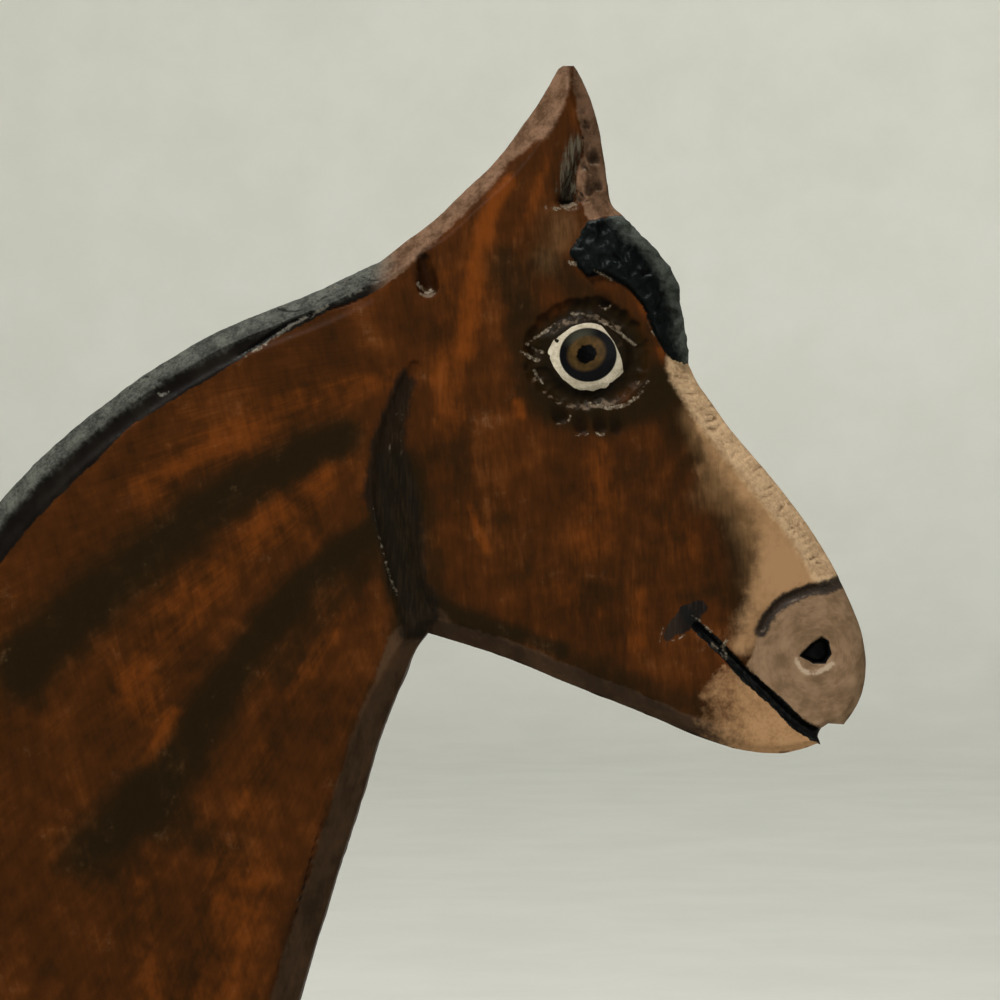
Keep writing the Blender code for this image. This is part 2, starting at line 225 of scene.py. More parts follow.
# Splits and knife lines: the line in pixels, half width in pixels, depth
CRACKS = [
    ([(270, 306), (283, 310), (299, 310), (312, 304)], 1.6, 0.0011),
    ([(312, 304), (322, 298), (334, 292)], 1.3, 0.0007),
    ([(238, 355), (262, 341), (286, 325), (312, 313)], 2.8, 0.0015),
    ([(583, 164), (587, 169), (590, 173)], 1.6, 0.0009), ([(579, 191), (584, 197)], 2.0, 0.0009),
    ([(582, 202), (590, 200)], 1.4, 0.0007), ([(584, 117), (586, 124)], 1.3, 0.0007),
    ([(581, 136), (585, 139)], 1.6, 0.0008), ([(556, 199), (566, 202), (576, 199)], 2.6, 0.0009),
    ([(320, 312), (340, 306), (362, 299)], 1.6, 0.0009),
    ([(330, 283), (345, 281), (356, 276)], 1.4, 0.0008),
    ([(358, 272), (370, 280), (383, 279)], 1.4, 0.0007),
    ([(137, 381), (144, 376), (155, 378)], 1.4, 0.0008),
    ([(126, 389), (132, 386)], 1.2, 0.0006),
    ([(333, 790), (314, 845), (300, 899), (280, 954)], 1.4, 0.0005),
]
KNOT_PIXEL = (161, 387)
KNOT_RADIUS_PIXELS = 8
KNOT_DEPTH = 0.0012

# Chamfers cut across by the rasp or knife: the stretch, how far in the cuts reach, their pitch and depth
RASPED_STRETCHES = [
    (NOSE, 0.0098, 0.0027, 0.00095),
    (EAR_BACK, 0.0095, 0.0080, 0.00030),
    (EAR_FRONT, 0.0080, 0.0060, 0.00030),
    (CREST_AND_WITHERS, 0.0070, 0.0090, 0.00022),
]

# Areas of paint, in the photograph's pixels. Each closes on itself, off the plank where it reaches the edge.
MANE_EDGE = [
    (404, 272), (384, 286), (364, 298), (334, 307), (312, 320), (276, 337), (252, 351),
    (229, 366), (211, 378), (185, 393), (160, 407), (125, 430),
]
MANE_BAND_BELOW = 0.0165
EAR_BACK_PALE = [
    (572, 79), (567, 95), (563, 108), (557, 123), (546, 134), (533, 143), (521, 154), (510, 164),
    (498, 178), (487, 190), (470, 209), (450, 228), (430, 246), (412, 262), (404, 272), (384, 286),
    (330, 290), (330, 200), (520, 40), (573, 50),
]
EAR_FRONT_PALE = [
    (572, 79), (575, 97), (577, 113), (580, 124), (583, 137), (582, 157), (577, 172), (577, 194),
    (582, 207), (585, 216), (594, 224), (604, 217), (640, 214), (640, 50), (573, 50),
]
EAR_BLUE = [
    (575, 128), (583, 140), (582, 157), (577, 174), (577, 203), (560, 205), (557, 190), (562, 165),
    (569, 142),
]
JAW_GROOVE_BLACK = [
    (405, 368), (399, 375), (389, 395), (379, 415), (373, 436), (371, 454), (366, 473), (365, 495),
    (370, 515), (379, 536), (384, 560), (387, 581), (396, 603), (400, 640), (424, 640), (436, 622),
    (438, 597), (428, 585), (423, 564), (424, 534), (421, 499), (405, 450), (406, 426), (410, 401),
    (415, 381),
]
MOUTH_LINE = [
    (684, 611), (697, 626), (713, 641), (729, 657), (742, 672), (758, 686), (774, 700), (790, 716),
    (803, 728), (820, 736), (836, 741),
]
MOUTH_HALF_PIXELS = (5.4, 7.4)
MOUTH_CORNER_PATCH = [
    (662, 640), (664, 630), (672, 618), (683, 606), (697, 599), (706, 600), (708, 610), (701, 617),
    (696, 626), (688, 632), (676, 636), (668, 643),
]
MUZZLE_ARC = [(760, 631), (768, 616), (783, 602), (799, 594), (813, 590), (829, 587), (845, 580)]
MUZZLE_ARC_HALF_PIXELS = (7.4, 7.0)
NOSTRIL_BLACK = [(799, 656), (812, 643), (822, 637), (829, 641), (832, 654), (826, 664), (814, 664)]
NOSTRIL_BRUSHED_ROUND = (814, 652)
NOSTRIL_RIM_LIGHT = [(796, 661), (803, 670), (812, 673), (822, 670), (833, 664)]
NOSTRIL_RIM_HALF_PIXELS = (3.25, 3.25)
EYE_WHITE = [
    (547.5, 352), (553.6, 340), (558, 337), (565, 332), (571.5, 327), (578, 324.6), (585, 323),
    (591.6, 323), (597, 324), (601.6, 325.7), (605, 329.7), (609.5, 336), (614, 342), (617, 348.6),
    (620, 355), (622, 361), (623.4, 372), (619.5, 376), (614, 380.5), (606, 388), (600.5, 388),
    (594, 391), (587, 390), (580, 390), (574, 388), (568, 383), (562.5, 379), (558, 373), (554, 367.6),
    (551, 361),
]
EYE_NICKS = [((557, 341), 2.0), ((611, 384), 1.7), ((597, 391), 1.8), ((549, 356), 1.2)]
TAUPE_MUZZLE = [
    (752, 655), (757, 636), (762, 626), (783, 600), (813, 588), (845, 578), (900, 560), (900, 760),
    (830, 745), (803, 728), (774, 700), (742, 672),
]
CREAM_LIP = [
    (700, 690), (712, 676), (724, 664), (742, 672), (774, 700), (803, 728), (836, 745), (836, 780),
    (690, 780), (688, 735), (694, 712),
]
# Soft strokes: the line in pixels, half widths in pixels at its two ends, strength
DARK_STROKES = [
    ([(345, 436), (300, 455), (245, 487), (190, 522), (140, 563), (90, 605), (20, 665)], (20, 36), 0.95),
    ([(388, 522), (340, 553), (297, 593), (253, 644), (212, 710), (165, 780), (90, 850)], (13, 33), 0.90),
    ([(372, 560), (330, 606), (285, 668)], (14, 22), 0.55),
    ([(150, 795), (185, 830), (240, 850)], (26, 20), 0.55),
    ([(404, 640), (376, 700), (352, 790), (322, 880), (292, 990), (262, 1110)], (16, 22), 0.62),
    ([(392, 470), (398, 560), (410, 620)], (22, 18), 0.85),
    ([(410, 470), (428, 520), (436, 580)], (14, 10), 0.50),
    ([(436, 606), (470, 620), (520, 636), (560, 650)], (13, 8), 0.85),
    ([(560, 655), (620, 680), (690, 705)], (12, 18), 0.60),
    ([(500, 262), (520, 300), (528, 350), (540, 392)], (22, 20), 0.72),
    ([(548, 262), (590, 300), (630, 330), (648, 372)], (14, 16), 0.60),
    ([(560, 410), (600, 420), (640, 408), (662, 384)], (16, 16), 0.80),
    ([(668, 400), (690, 440), (716, 480), (735, 520)], (18, 22), 0.62),
    ([(640, 480), (660, 520), (640, 560), (600, 575)], (30, 30), 0.38),
    ([(472, 440), (480, 500), (520, 560)], (22, 30), 0.40),
    ([(742, 540), (744, 580), (734, 620)], (14, 16), 0.55),
    ([(570, 178), (566, 200)], (8, 10), 0.50),
    ([(686, 594), (712, 588)], (10, 8), 0.45),
    ([(330, 340), (260, 380), (180, 430)], (10, 16), 0.08),
]
WARM_STROKES = [
    ([(508, 182), (490, 212), (480, 256), (470, 300), (466, 350)], (9, 12), 0.85),
    ([(446, 276), (441, 330), (437, 378)], (9, 9), 0.50),
    ([(456, 372), (448, 402), (446, 440)], (14, 18), 0.38),
    ([(520, 404), (522, 414)], (8, 6), 0.95),
    ([(548, 160), (536, 196), (528, 216)], (6, 8), 0.45),
    ([(340, 452), (290, 498), (230, 560), (180, 620), (130, 700)], (12, 30), 0.55),
    ([(330, 478), (315, 500), (300, 540)], (14, 18), 0.45),
    ([(390, 380), (300, 400), (230, 440), (150, 480)], (14, 22), 0.52),
    ([(176, 712), (158, 744), (150, 762)], (8, 8), 0.75),
    ([(360, 590), (320, 650), (280, 730), (250, 800)], (8, 18), 0.40),
    ([(470, 505), (478, 530), (487, 550)], (5, 4), 0.75),
    ([(571, 587), (573, 590)], (5, 5), 0.35),
    ([(600, 462), (596, 500), (590, 540)], (18, 22), 0.45),
    ([(668, 520), (690, 545), (710, 560)], (14, 16), 0.40),
    ([(560, 600), (600, 620), (620, 640)], (22, 18), 0.42),
    ([(640, 590), (642, 640)], (8, 10), 0.45),
    ([(240, 880), (220, 960), (200, 1040)], (34, 40), 0.52),
    ([(140, 880), (150, 960), (150, 1050)], (22, 30), 0.35),
    ([(660, 350), (668, 372)], (5, 5), 0.65),
    ([(604, 268), (628, 288), (644, 310), (655, 335)], (5, 5), 0.45),
]
SMOKE_STROKES = [
    ([(690, 414), (712, 448), (738, 490), (757, 530), (770, 570)], (11, 30), 0.80),
    ([(700, 500), (716, 480)], (14, 14), 0.35),
    ([(560, 228), (545, 258)], (20, 16), 0.38),
    ([(430, 640), (520, 668), (600, 700), (690, 730)], (7, 8), 0.40),
    ([(412, 520), (418, 610)], (12, 14), 0.25),
]
CREAM_STROKES = [
    ([(702, 428), (726, 458), (752, 492), (778, 530), (797, 565)], (10, 22), 0.66),
    ([(786, 570), (772, 590), (758, 615), (744, 645)], (24, 12), 0.85),
    ([(776, 545), (792, 580)], (18, 20), 0.80),
]
# Pale marks along edges and the lips of cuts, partly rubbing and partly painted highlight: the line in pixels,
# half width in pixels, strength
WORN_AND_LIT_EDGES = [
    ([(246, 356), (271, 340), (293, 323), (312, 315), (330, 304)], 2.6, 0.9),
    ([(154, 383), (155, 391), (162, 396), (169, 391)], 1.7, 0.8),
    ([(128, 384), (145, 378), (156, 380)], 1.3, 0.6),
    ([(272, 302), (285, 307), (300, 305)], 1.4, 0.6), ([(330, 288), (350, 279), (372, 270)], 2.0, 0.5),
    ([(350, 296), (368, 286), (388, 277)], 2.4, 0.6),
    ([(648, 382), (638, 396), (626, 405), (609, 408), (590, 403)], 2.6, 1.0),
    ([(635, 345), (624, 336), (610, 326), (599, 321)], 2.0, 0.8),
    ([(522, 352), (530, 357), (538, 360)], 2.4, 1.0), ([(535, 338), (545, 331), (555, 323)], 2.2, 0.8),
    ([(527, 344), (536, 350), (543, 352)], 2.0, 0.8),
    ([(534, 370), (538, 377), (542, 383)], 1.8, 1.0),
    ([(530, 341), (548, 331)], 1.6, 0.6), ([(572, 313), (584, 314)], 2.2, 0.7),
    ([(557, 424), (563, 425), (569, 420), (572, 408)], 1.6, 0.7),
    ([(576, 435), (582, 437), (588, 434)], 1.3, 0.8), ([(596, 432), (601, 436), (606, 432)], 1.3, 0.9),
    ([(612, 432), (617, 436), (622, 431)], 1.3, 0.9), ([(599, 305), (606, 309), (612, 304)], 1.4, 0.8),
    ([(418, 284), (426, 292), (434, 290)], 2.6, 0.8), ([(546, 207), (560, 209), (576, 205)], 2.6, 0.9),
    ([(570, 262), (575, 264)], 2.8, 0.9), ([(592, 270), (602, 274), (612, 280)], 1.8, 0.8),
    ([(626, 290), (632, 296)], 1.6, 0.6), ([(648, 322), (653, 334), (660, 346)], 1.4, 0.7),
    ([(661, 641), (664, 628), (672, 617)], 1.5, 1.0),
    ([(664, 643), (676, 640), (686, 634)], 1.5, 0.7), ([(693, 616), (703, 624), (712, 632)], 1.5, 1.0),
    ([(712, 644), (720, 652), (726, 660)], 2.0, 0.7), ([(727, 640), (722, 648), (728, 656)], 2.0, 0.9),
    ([(389, 462), (390, 430), (398, 408)], 2.4, 0.42), ([(373, 505), (378, 535), (384, 556)], 2.4, 0.45),
    ([(386, 562), (391, 580), (398, 598)], 2.6, 0.52), ([(404, 398), (401, 440), (402, 492)], 2.6, 0.40),
    ([(163, 668), (166, 690)], 1.2, 0.4), ([(316, 470), (304, 482)], 1.6, 0.4),
    ([(325, 352), (327, 392)], 1.0, 0.35), ([(544, 285), (546, 306)], 0.9, 0.35),
]
EYE_SHADOW_PIXELS = (34, 53)
IRIS = ((588.0, 355.0), (28.7, 27.0), 0.0)
IRIS_RING = ((586.6, 353.5), (20.0, 17.5), 27.0)
PUPIL = ((586.8, 354.0), (10.8, 9.0), 27.0)
# The painted reflection on the upper iris
IRIS_REFLECTION = ((580.0, 337.0), (21.0, 13.0), 24.0)
NECK_STROKES_FROM = (520, 330)
NECK_FROM_LINE = [(440, 60), (420, 260), (395, 400), (380, 520), (405, 640), (470, 760)]

# What the paint's nodes read from the mesh, by name: areas, bands along the outline with their widths, lines
# with their half widths in pixels at both ends, and soft strokes
PAINTED_AREAS = {
    "groove": JAW_GROOVE_BLACK, "corner": MOUTH_CORNER_PATCH, "nostril": NOSTRIL_BLACK, "white": EYE_WHITE,
    "muzzle": TAUPE_MUZZLE, "lip": CREAM_LIP, "ear_back": EAR_BACK_PALE, "ear_front": EAR_FRONT_PALE,
    "ear_blue": EAR_BLUE,
}
PAINTED_BANDS = {
    "nose_band": (NOSE, 0.0094),
    "jaw_band": (UNDER_JAW, 0.0070),
    "throat_band": (BREAST_AND_THROAT, 0.0110),
    "crest_band": (CREST_AND_WITHERS, 0.0075),
}
PAINTED_LINES = {
    "mouth": (MOUTH_LINE, MOUTH_HALF_PIXELS),
    "arc": (MUZZLE_ARC, MUZZLE_ARC_HALF_PIXELS),
    "nostril_rim": (NOSTRIL_RIM_LIGHT, NOSTRIL_RIM_HALF_PIXELS),
}
SOFT_STROKES = {"dark": DARK_STROKES, "warm": WARM_STROKES, "smoke": SMOKE_STROKES, "cream": CREAM_STROKES}
CLEAR_OF_PLANK = 0.1
# Ledges: the step that a chamfer's slope is taken over, how squarely at least a face looks across the plank,
# and the lowest place that has any
SLOPE_STEP = 0.0006
LEAST_FLATNESS = 0.45
LEDGES_FROM = 0.05

# The paint's colours as the photograph shows them, 0 to 255, with two tones where one varies
CHESTNUT = ((37, 19, 3), (58, 29, 6))
WARM_CHESTNUT = (85, 42, 10)
BRIGHT_CHESTNUT = (106, 52, 12)
DARK_STROKE = (28, 18, 4)
EYE_SHADOW = (19, 15, 9)
SMOKE = ((62, 44, 25), (104, 78, 50))
THROAT_CHAMFER = ((44, 31, 19), (70, 51, 35))
JAW_CHAMFER = ((48, 35, 25), (68, 50, 36))
EAR_BROWN = ((74, 54, 38), (120, 92, 72))
EAR_STREAKS = ((32, 29, 24), (78, 74, 61))
EAR_FOOT = (16, 10, 6)
CREAM = ((154, 126, 95), (188, 158, 123))
CREAM_HAZE = (156, 121, 86)
# Painted shade in the rasp's marks on the blaze
RASP_HOLLOW = (104, 78, 54)
LIP = ((136, 102, 70), (158, 122, 86))
TAUPE = ((100, 78, 57), (132, 107, 83))
MANE_BLACK = ((13, 10, 8), (25, 21, 17))
# Dust and painted highlight on the mane's upward chamfer
MANE_DUST_AND_HIGHLIGHT = ((44, 45, 42), (86, 87, 80))
GROOVE_BLACK = ((16, 12, 6), (32, 25, 16))
FORELOCK_BLACK = ((6, 9, 9), (15, 19, 18))
# Painted highlight on the forelock's outer edge and top
FORELOCK_HIGHLIGHT = ((32, 36, 33), (88, 92, 84))
ARC_BLACK = ((17, 18, 19), (42, 38, 35))
INK = ((10, 12, 12), (30, 30, 28))
NOSTRIL_LIGHT = (172, 152, 130)
CORNER_BLACK = ((34, 28, 23), (14, 15, 15))
CORNER_SCUFF = (56, 48, 40)
# Pale edges, partly rubbing and partly painted highlight, on the coat and on the mane
RUBBED_AND_LIT = ((84, 72, 58), (150, 138, 120))
RUBBED_AND_LIT_MANE = (84, 84, 77)
CHIP = (104, 84, 64)
# The dark iris, and the grey of the painted reflection on it
IRIS_DARK = ((11, 11, 13), (60, 60, 50))
IRIS_BROWN = ((54, 41, 21), (80, 59, 32))
PUPIL_BLACK = (3, 3, 3)
EYE_BONE = ((150, 139, 119), (192, 182, 162))
BARE_WOOD = ((116, 84, 54), (150, 116, 78))
# Painted highlight on ledges that face up, on the coat and on black
LEDGE_HIGHLIGHT = ((112, 96, 80), (72, 76, 74))

# Where one colour gives way to another, as places forward along the plank or up it
LIP_FORWARD = (0.257, 0.288)
MANE_END_FORWARD = (0.128, 0.146)
CORNER_FORWARD = (0.250, 0.258)
EAR_FOOT_UP = (0.377, 0.372)
EAR_SHADE_UP = (0.42, 0.39)
FORELOCK_HIGHLIGHT_UP = (0.350, 0.382)
UNDERSIDE_UP = (0.0006, 0.0001)
BRUSH_MARKS_DEPTH = 0.00022


def on_plank(points):
    """Places on the plank's face in metres, from thousandths of the height."""
    return np.array([point[:2] for point in points], float) * HEIGHT / 1000


def from_photo(points):
    """Places on the plank's face in metres, from the photograph's pixels."""
    return (np.array(points, float) - ORIGIN_PIXEL) * (PIXEL, -PIXEL)


def resampled(points, step):
    """Points along a line of straight runs, about a step apart, ends included."""
    runs = np.linalg.norm(np.diff(points[:, :2], axis=0), axis=1)
    along = np.concatenate([[0.0], np.cumsum(runs)])
    count = max(2, int(round(along[-1] / step)) + 1)
    wanted = np.linspace(0.0, along[-1], count)
    return np.stack([np.interp(wanted, along, column) for column in points.T], axis=1)


def smooth_curve(points, per_span=8):
    """A centripetal Catmull-Rom curve through points of any width, with the first two columns as places."""
    points = np.asarray(points, float)
    ends = [2 * points[0] - points[1], 2 * points[-1] - points[-2]]
    knots = np.vstack([ends[0], points, ends[1]])
    curve = []
    for a, b, c, d in zip(knots, knots[1:], knots[2:], knots[3:]):
        t0 = 0.0
        t1 = t0 + np.linalg.norm((b - a)[:2]) ** 0.5
        t2 = t1 + np.linalg.norm((c - b)[:2]) ** 0.5
        t3 = t2 + np.linalg.norm((d - c)[:2]) ** 0.5
        for t in np.linspace(t1, t2, per_span, endpoint=False):
            ab = ((t1 - t) * a + (t - t0) * b) / (t1 - t0)
            bc = ((t2 - t) * b + (t - t1) * c) / (t2 - t1)
            cd = ((t3 - t) * c + (t - t2) * d) / (t3 - t2)
            abc = ((t2 - t) * ab + (t - t0) * bc) / (t2 - t0)
            bcd = ((t3 - t) * bc + (t - t1) * cd) / (t3 - t1)
            curve.append(((t2 - t) * abc + (t - t1) * bcd) / (t2 - t1))
    return np.vstack([curve, points[-1:]])


def left_of(line):
    """Unit vectors to the left of a line, one at each of its points."""
    ahead = np.gradient(line[:, :2], axis=0)
    left = np.column_stack([-ahead[:, 1], ahead[:, 0]])
    return left / np.linalg.norm(left, axis=1)[:, None]


def nearest_on_line(places, line):
    """Distance from each place to a line of straight runs, and its nearest point's share of the way along."""
    runs = np.linalg.norm(np.diff(line, axis=0), axis=1)
    starts = np.concatenate([[0.0], np.cumsum(runs)])
    best = np.full(len(places), np.inf)
    share = np.zeros(len(places))
    for a, b, length, start in zip(line, line[1:], runs, starts):
        t = np.clip(((places - a) @ (b - a)) / length**2, 0.0, 1.0)
        away = np.linalg.norm(places - (a + t[:, None] * (b - a)), axis=1)
        closer = away < best
        best[closer] = away[closer]
        share[closer] = (start + t[closer] * length) / starts[-1]
    return best, share


def inside(places, loop):
    """Whether each place is inside a closed loop."""
    found = np.zeros(len(places), bool)
    for (ax, ay), (bx, by) in zip(loop, np.roll(loop, -1, axis=0)):
        if ay == by:
            continue
        crosses = (places[:, 1] >= min(ay, by)) & (places[:, 1] < max(ay, by))
        at = ax + (places[:, 1] - ay) * (bx - ax) / (by - ay)
        found ^= crosses & (places[:, 0] < at)
    return found


def depth_inside(places, loop):
    """Distance of each place inside a closed loop's edge, negative outside it."""
    away, _ = nearest_on_line(places, np.vstack([loop, loop[:1]]))
    return np.where(inside(places, loop), away, -away)


def eased(x):
    """0 to 1 with a gentle start and end."""
    x = np.clip(x, 0.0, 1.0)
    return x * x * (3 - 2 * x)


def wander(places, size, seed, octaves=3):
    """Smooth noise of about -1 to 1 over the plank, with features of a given size in metres."""
    return np.array([
        noise.fractal(Vector((x / size, z / size, seed)), 1.0, 2.0, octaves) for x, z in places
    ])


def sawn_edge(step, pieces=1):
    """The bevelled outline, from the front of the underside round to its back: places, bevel shares, wander.

    Each stretch has a multiple of pieces as its number of steps, so that its corners stay when the outline is
    thinned to every such point.
    """
    stretches = []
    for stretch, stray in EDGE_STRETCHES:
        shares = [point[2] for point in stretch]
        points = np.column_stack([on_plank(stretch), shares, np.full(len(stretch), stray)])
        spans = [smooth_curve(points)]
        if stretch in STRAIGHT_STRETCHES:
            spans = [np.array(pair) for pair in zip(points, points[1:])]
        for span in spans:
            length = np.linalg.norm(np.diff(span[:, :2], axis=0), axis=1).sum()
            count = pieces * max(1, round(length / (step * pieces)))
            stretches.append(resampled(span, length / count)[:-1])
    last = CREST_AND_WITHERS[-1]
    stretches.append([[*on_plank([last])[0], last[2], 0.0]])
    return np.vstack(stretches)


def hand_cut_edge():
    """The outline as the knife left it: the smooth one with small stray bumps."""
    edge = sawn_edge(EDGE_STEP, 2**HALVINGS)
    stray = np.convolve(np.pad(edge[:, 3], 4, "edge"), np.full(9, 1 / 9), "valid")
    stray[[0, -1]] = 0.0
    coarse, fine = EDGE_BUMPS
    bumps = 0.7 * wander(edge[:, :2], coarse, 3.0) + 0.3 * wander(edge[:, :2], fine, 5.0)
    cut = edge.copy()
    cut[:, :2] += left_of(edge) * (stray * bumps)[:, None] * 1.6
    cut[:, 1] = np.maximum(cut[:, 1], 0.0)
    return cut


def whole_loop(edge):
    """The hand-cut outline closed along the underside, with a number of points that can be halved evenly."""
    back, front = edge[-1, :2], edge[0, :2]
    length = np.linalg.norm(front - back)
    count = 2**HALVINGS * round(length / (EDGE_STEP * 1.5 * 2**HALVINGS))
    return np.vstack([edge[:, :2], resampled(np.array([back, front]), length / count)[1:-1]])


def crest_curve():
    """The top line of the neck, from the poll down to the base."""
    return smooth_curve(on_plank(CREST_AND_WITHERS[1:]), 5)


def carved_lines():
    """Each carved line in metres, with its half width and its depth at both ends."""
    lines = [
        (smooth_curve(on_plank(line), 6), np.array(half_widths) * HEIGHT / 1000, depths)
        for line, half_widths, depths in CARVED_LINES
    ]
    crest = crest_curve()
    cove = crest + MANE_COVE_FROM_CREST * left_of(crest)
    lines.append((cove, np.full(2, MANE_COVE_WIDTH / 2), (0.4 * MANE_COVE_DEPTH, MANE_COVE_DEPTH)))
    return lines


def bevel_fall(places, edge):
    """How far the bevelled edge falls below the plank's face at each place."""
    reach = np.zeros(len(places))
    for (ax, az, a_share), (bx, bz, b_share) in zip(edge[:, :3], edge[1:, :3]):
        near = (np.abs(places - (ax, az)) < 2 * BEVEL_WIDTH).all(axis=1)
        if not near.any():
            continue
        spots = places[near]
        run = np.array([bx - ax, bz - az])
        t = np.clip((spots - (ax, az)) @ run / (run @ run), 0.0, 1.0)
        away = np.linalg.norm(spots - (ax, az) - t[:, None] * run, axis=1)
        share = a_share + t * (b_share - a_share)
        reach[near] = np.maximum(reach[near], share * BEVEL_WIDTH - away)
    return reach * BEVEL_FALL / BEVEL_WIDTH


def forelock_loop():
    """The forelock's outline: its carved rim on the face, closed by corners that are clear of the plank."""
    return np.vstack([smooth_curve(on_plank(FORELOCK_RIM), 6), on_plank(PAST_THE_FORELOCK)])


def eye_radius(places):
    """Distance from the eye's centre, where 1 is its rim."""
    half = np.array(EYE_HALF_SIZE) * HEIGHT / 1000
    return np.linalg.norm((places - on_plank([EYE_CENTRE])) / half, axis=1)


def eye_cuts(places, radius):
    """How far each place is from the middle of the trough round the eye, and its depth as a share."""
    centred = places - on_plank([EYE_CENTRE])
    turn = np.arctan2(centred[:, 1], centred[:, 0])
    away = radius - EYE_TROUGH_AT
    share = np.ones(len(places))
    near = np.abs(away) < EYE_CUTS_REACH
    spots = places[near]
    stray = wander(spots, 0.009, 71.0, 2)
    cut = (turn[near] / (2 * np.pi) * EYE_CUTS + 0.9 * stray) % 1.0
    scallop = 1 - (2 * cut - 1) ** 2
    away[near] += np.where(away[near] > 0, 0.07 * (1 - scallop), 0.0) + 0.09 * stray
    share[near] = 0.84 + 0.16 * scallop + 0.34 * stray
    return away, share


def gouge_depth(places):
    """Depth of the gouge cuts. Each slopes in from where the tool entered and stops short at its end."""
    depth = np.zeros(len(places))
    for start, stop, width, deepest in GOUGE_CUTS:
        a, b = from_photo([start, stop])
        run = (b - a) / np.linalg.norm(b - a)
        length = np.linalg.norm(b - a)
        along = (places - a) @ run
        across = (places - a) @ np.array([-run[1], run[0]])
        half = width * PIXEL / 2
        round_end = np.sqrt(np.clip(1 - (across / half) ** 2, 0, 1))
        ramp = np.clip(along / (0.8 * length), 0, 1) ** 0.8
        stopped = np.clip((length - (1 - round_end) * half - along) / GOUGE_STOP, 0, 1)
        depth = np.maximum(depth, deepest * ramp * stopped * round_end)
    return depth


def carving_depth(places, edge):
    """Depth of the main carving below the plank's face, less what stands up from it."""
    depth = bevel_fall(places, edge)
    for line, half_widths, depths in carved_lines():
        away, share = nearest_on_line(places, line)
        half = np.interp(share, (0, 1), half_widths)
        depth += np.interp(share, (0, 1), depths) * np.clip(1 - (away / half) ** 2, 0, None)
    depth += NOSTRIL_DEPTH * eased(depth_inside(places, on_plank(NOSTRIL)) / NOSTRIL_WALL)
    radius = eye_radius(places)
    away, cut_share = eye_cuts(places, radius)
    depth += EYE_TROUGH_DEPTH * cut_share * np.clip(1 - (away / EYE_TROUGH_HALF) ** 2, 0, None)
    depth -= EYE_DOME_RISE * np.clip(1 - radius**2, 0, None)
    to_rim, _ = nearest_on_line(places, smooth_curve(on_plank(FORELOCK_RIM), 6))
    depth -= inside(places, forelock_loop()) * FORELOCK_RISE * eased(to_rim / FORELOCK_SHOULDER)
    return depth


def rasp_marks(places, stretches):
    """Depth of the cuts across the chamfers: the rasp's down the blaze, the knife's on ears and mane."""
    depth = np.zeros(len(places))
    for stretch, reach, pitch, deepest in stretches:
        line = smooth_curve(on_plank(stretch), 6)
        length = np.linalg.norm(np.diff(line, axis=0), axis=1).sum()
        away, share = nearest_on_line(places, line)
        near = away < reach
        spots, along = places[near], share[near] * length
        shift = 1.3 * wander(spots, 0.012, 51.0, 2) + 1.4 * wander(spots, 0.05, 53.0, 1)
        turns = along / pitch + shift - 90 * away[near]
        saw = (turns % 1.0) ** 1.6
        strength = 0.62 + 0.9 * wander(spots, 0.006, 57.0, 2)
        fade = eased((reach - away[near]) / CUTS_FADE)
        depth[near] += deepest * saw * np.clip(strength, 0.05, 1.5) * fade
    return depth


def forelock_lumps(places):
    """Depth of the hollows between the forelock's locks."""
    rim = np.clip(depth_inside(places, forelock_loop()) / LUMPS_FADE, 0, 1)
    lumps = np.zeros(len(places))
    near = rim > 0
    spots = places[near]
    swirl = spots + 0.003 * np.column_stack([wander(spots, 0.012, 61.0, 2), wander(spots, 0.012, 63.0, 2)])
    lumps[near] = 0.75 * np.abs(wander(swirl, 0.010, 65.0, 2)) + 0.30 * wander(swirl, 0.0035, 67.0, 2)
    return FORELOCK_LUMPS * lumps * rim


def small_marks(places, seed):
    """Depth of the marks that only the fine surface carries, such as gouge cuts, splits and hair."""
    depth = gouge_depth(places) + rasp_marks(places, RASPED_STRETCHES) + forelock_lumps(places)
    for line, half, deepest in CRACKS:
        away, share = nearest_on_line(places, smooth_curve(from_photo(line), 6))
        narrowing = np.sin(np.pi * np.clip(share, 0.04, 0.96)) ** 0.4
        depth += deepest * np.clip(1 - away / (half * PIXEL * narrowing), 0, None)
    knot = np.linalg.norm(places - from_photo([KNOT_PIXEL]), axis=1) / (KNOT_RADIUS_PIXELS * PIXEL)
    depth += KNOT_DEPTH * np.clip(1 - knot**4, 0, None) * (1 - 0.75 * np.clip(1 - knot / 0.75, 0, None))
    swell, swell_size = FACE_SWELL
    grain, grain_size = FACE_GRAIN
    return depth + swell * wander(places, swell_size, seed) + grain * wander(places, grain_size, seed + 7, 2)


def hex_grid(low, high, spacing):
    """Staggered rows of places over a box."""
    rise = spacing * 3**0.5 / 2
    rows = []
    for row, z in enumerate(np.arange(low[1], high[1], rise)):
        xs = np.arange(low[0] + (row % 2) * spacing / 2, high[0], spacing)
        rows.append(np.column_stack([xs, np.full(len(xs), z)]))
    return np.vstack(rows)


def wanted_spacing(places):
    """How far apart the mesh's points may be at each place: close where there is carving."""
    marks = [np.linalg.norm(places - on_plank([EYE_CENTRE]), axis=1) - EYE_FINE_REACH]
    for line, half_widths, _ in carved_lines():
        away, _ = nearest_on_line(places, line[::3])
        marks.append(away - half_widths.max() - CARVING_MARGIN)
    for loop in (forelock_loop(), on_plank(NOSTRIL)):
        marks.append(-depth_inside(places, loop) - CARVING_MARGIN)
    for stretch, reach, least in FINE_STRETCHES:
        away, _ = nearest_on_line(places, on_plank(stretch))
        marks.append(np.maximum(away - reach, 0) + least)
    nearest = np.maximum(np.min(marks, axis=0), 0)
    return np.interp(nearest, FINE_TO_OPEN, (FINE_SPACING, OPEN_SPACING))


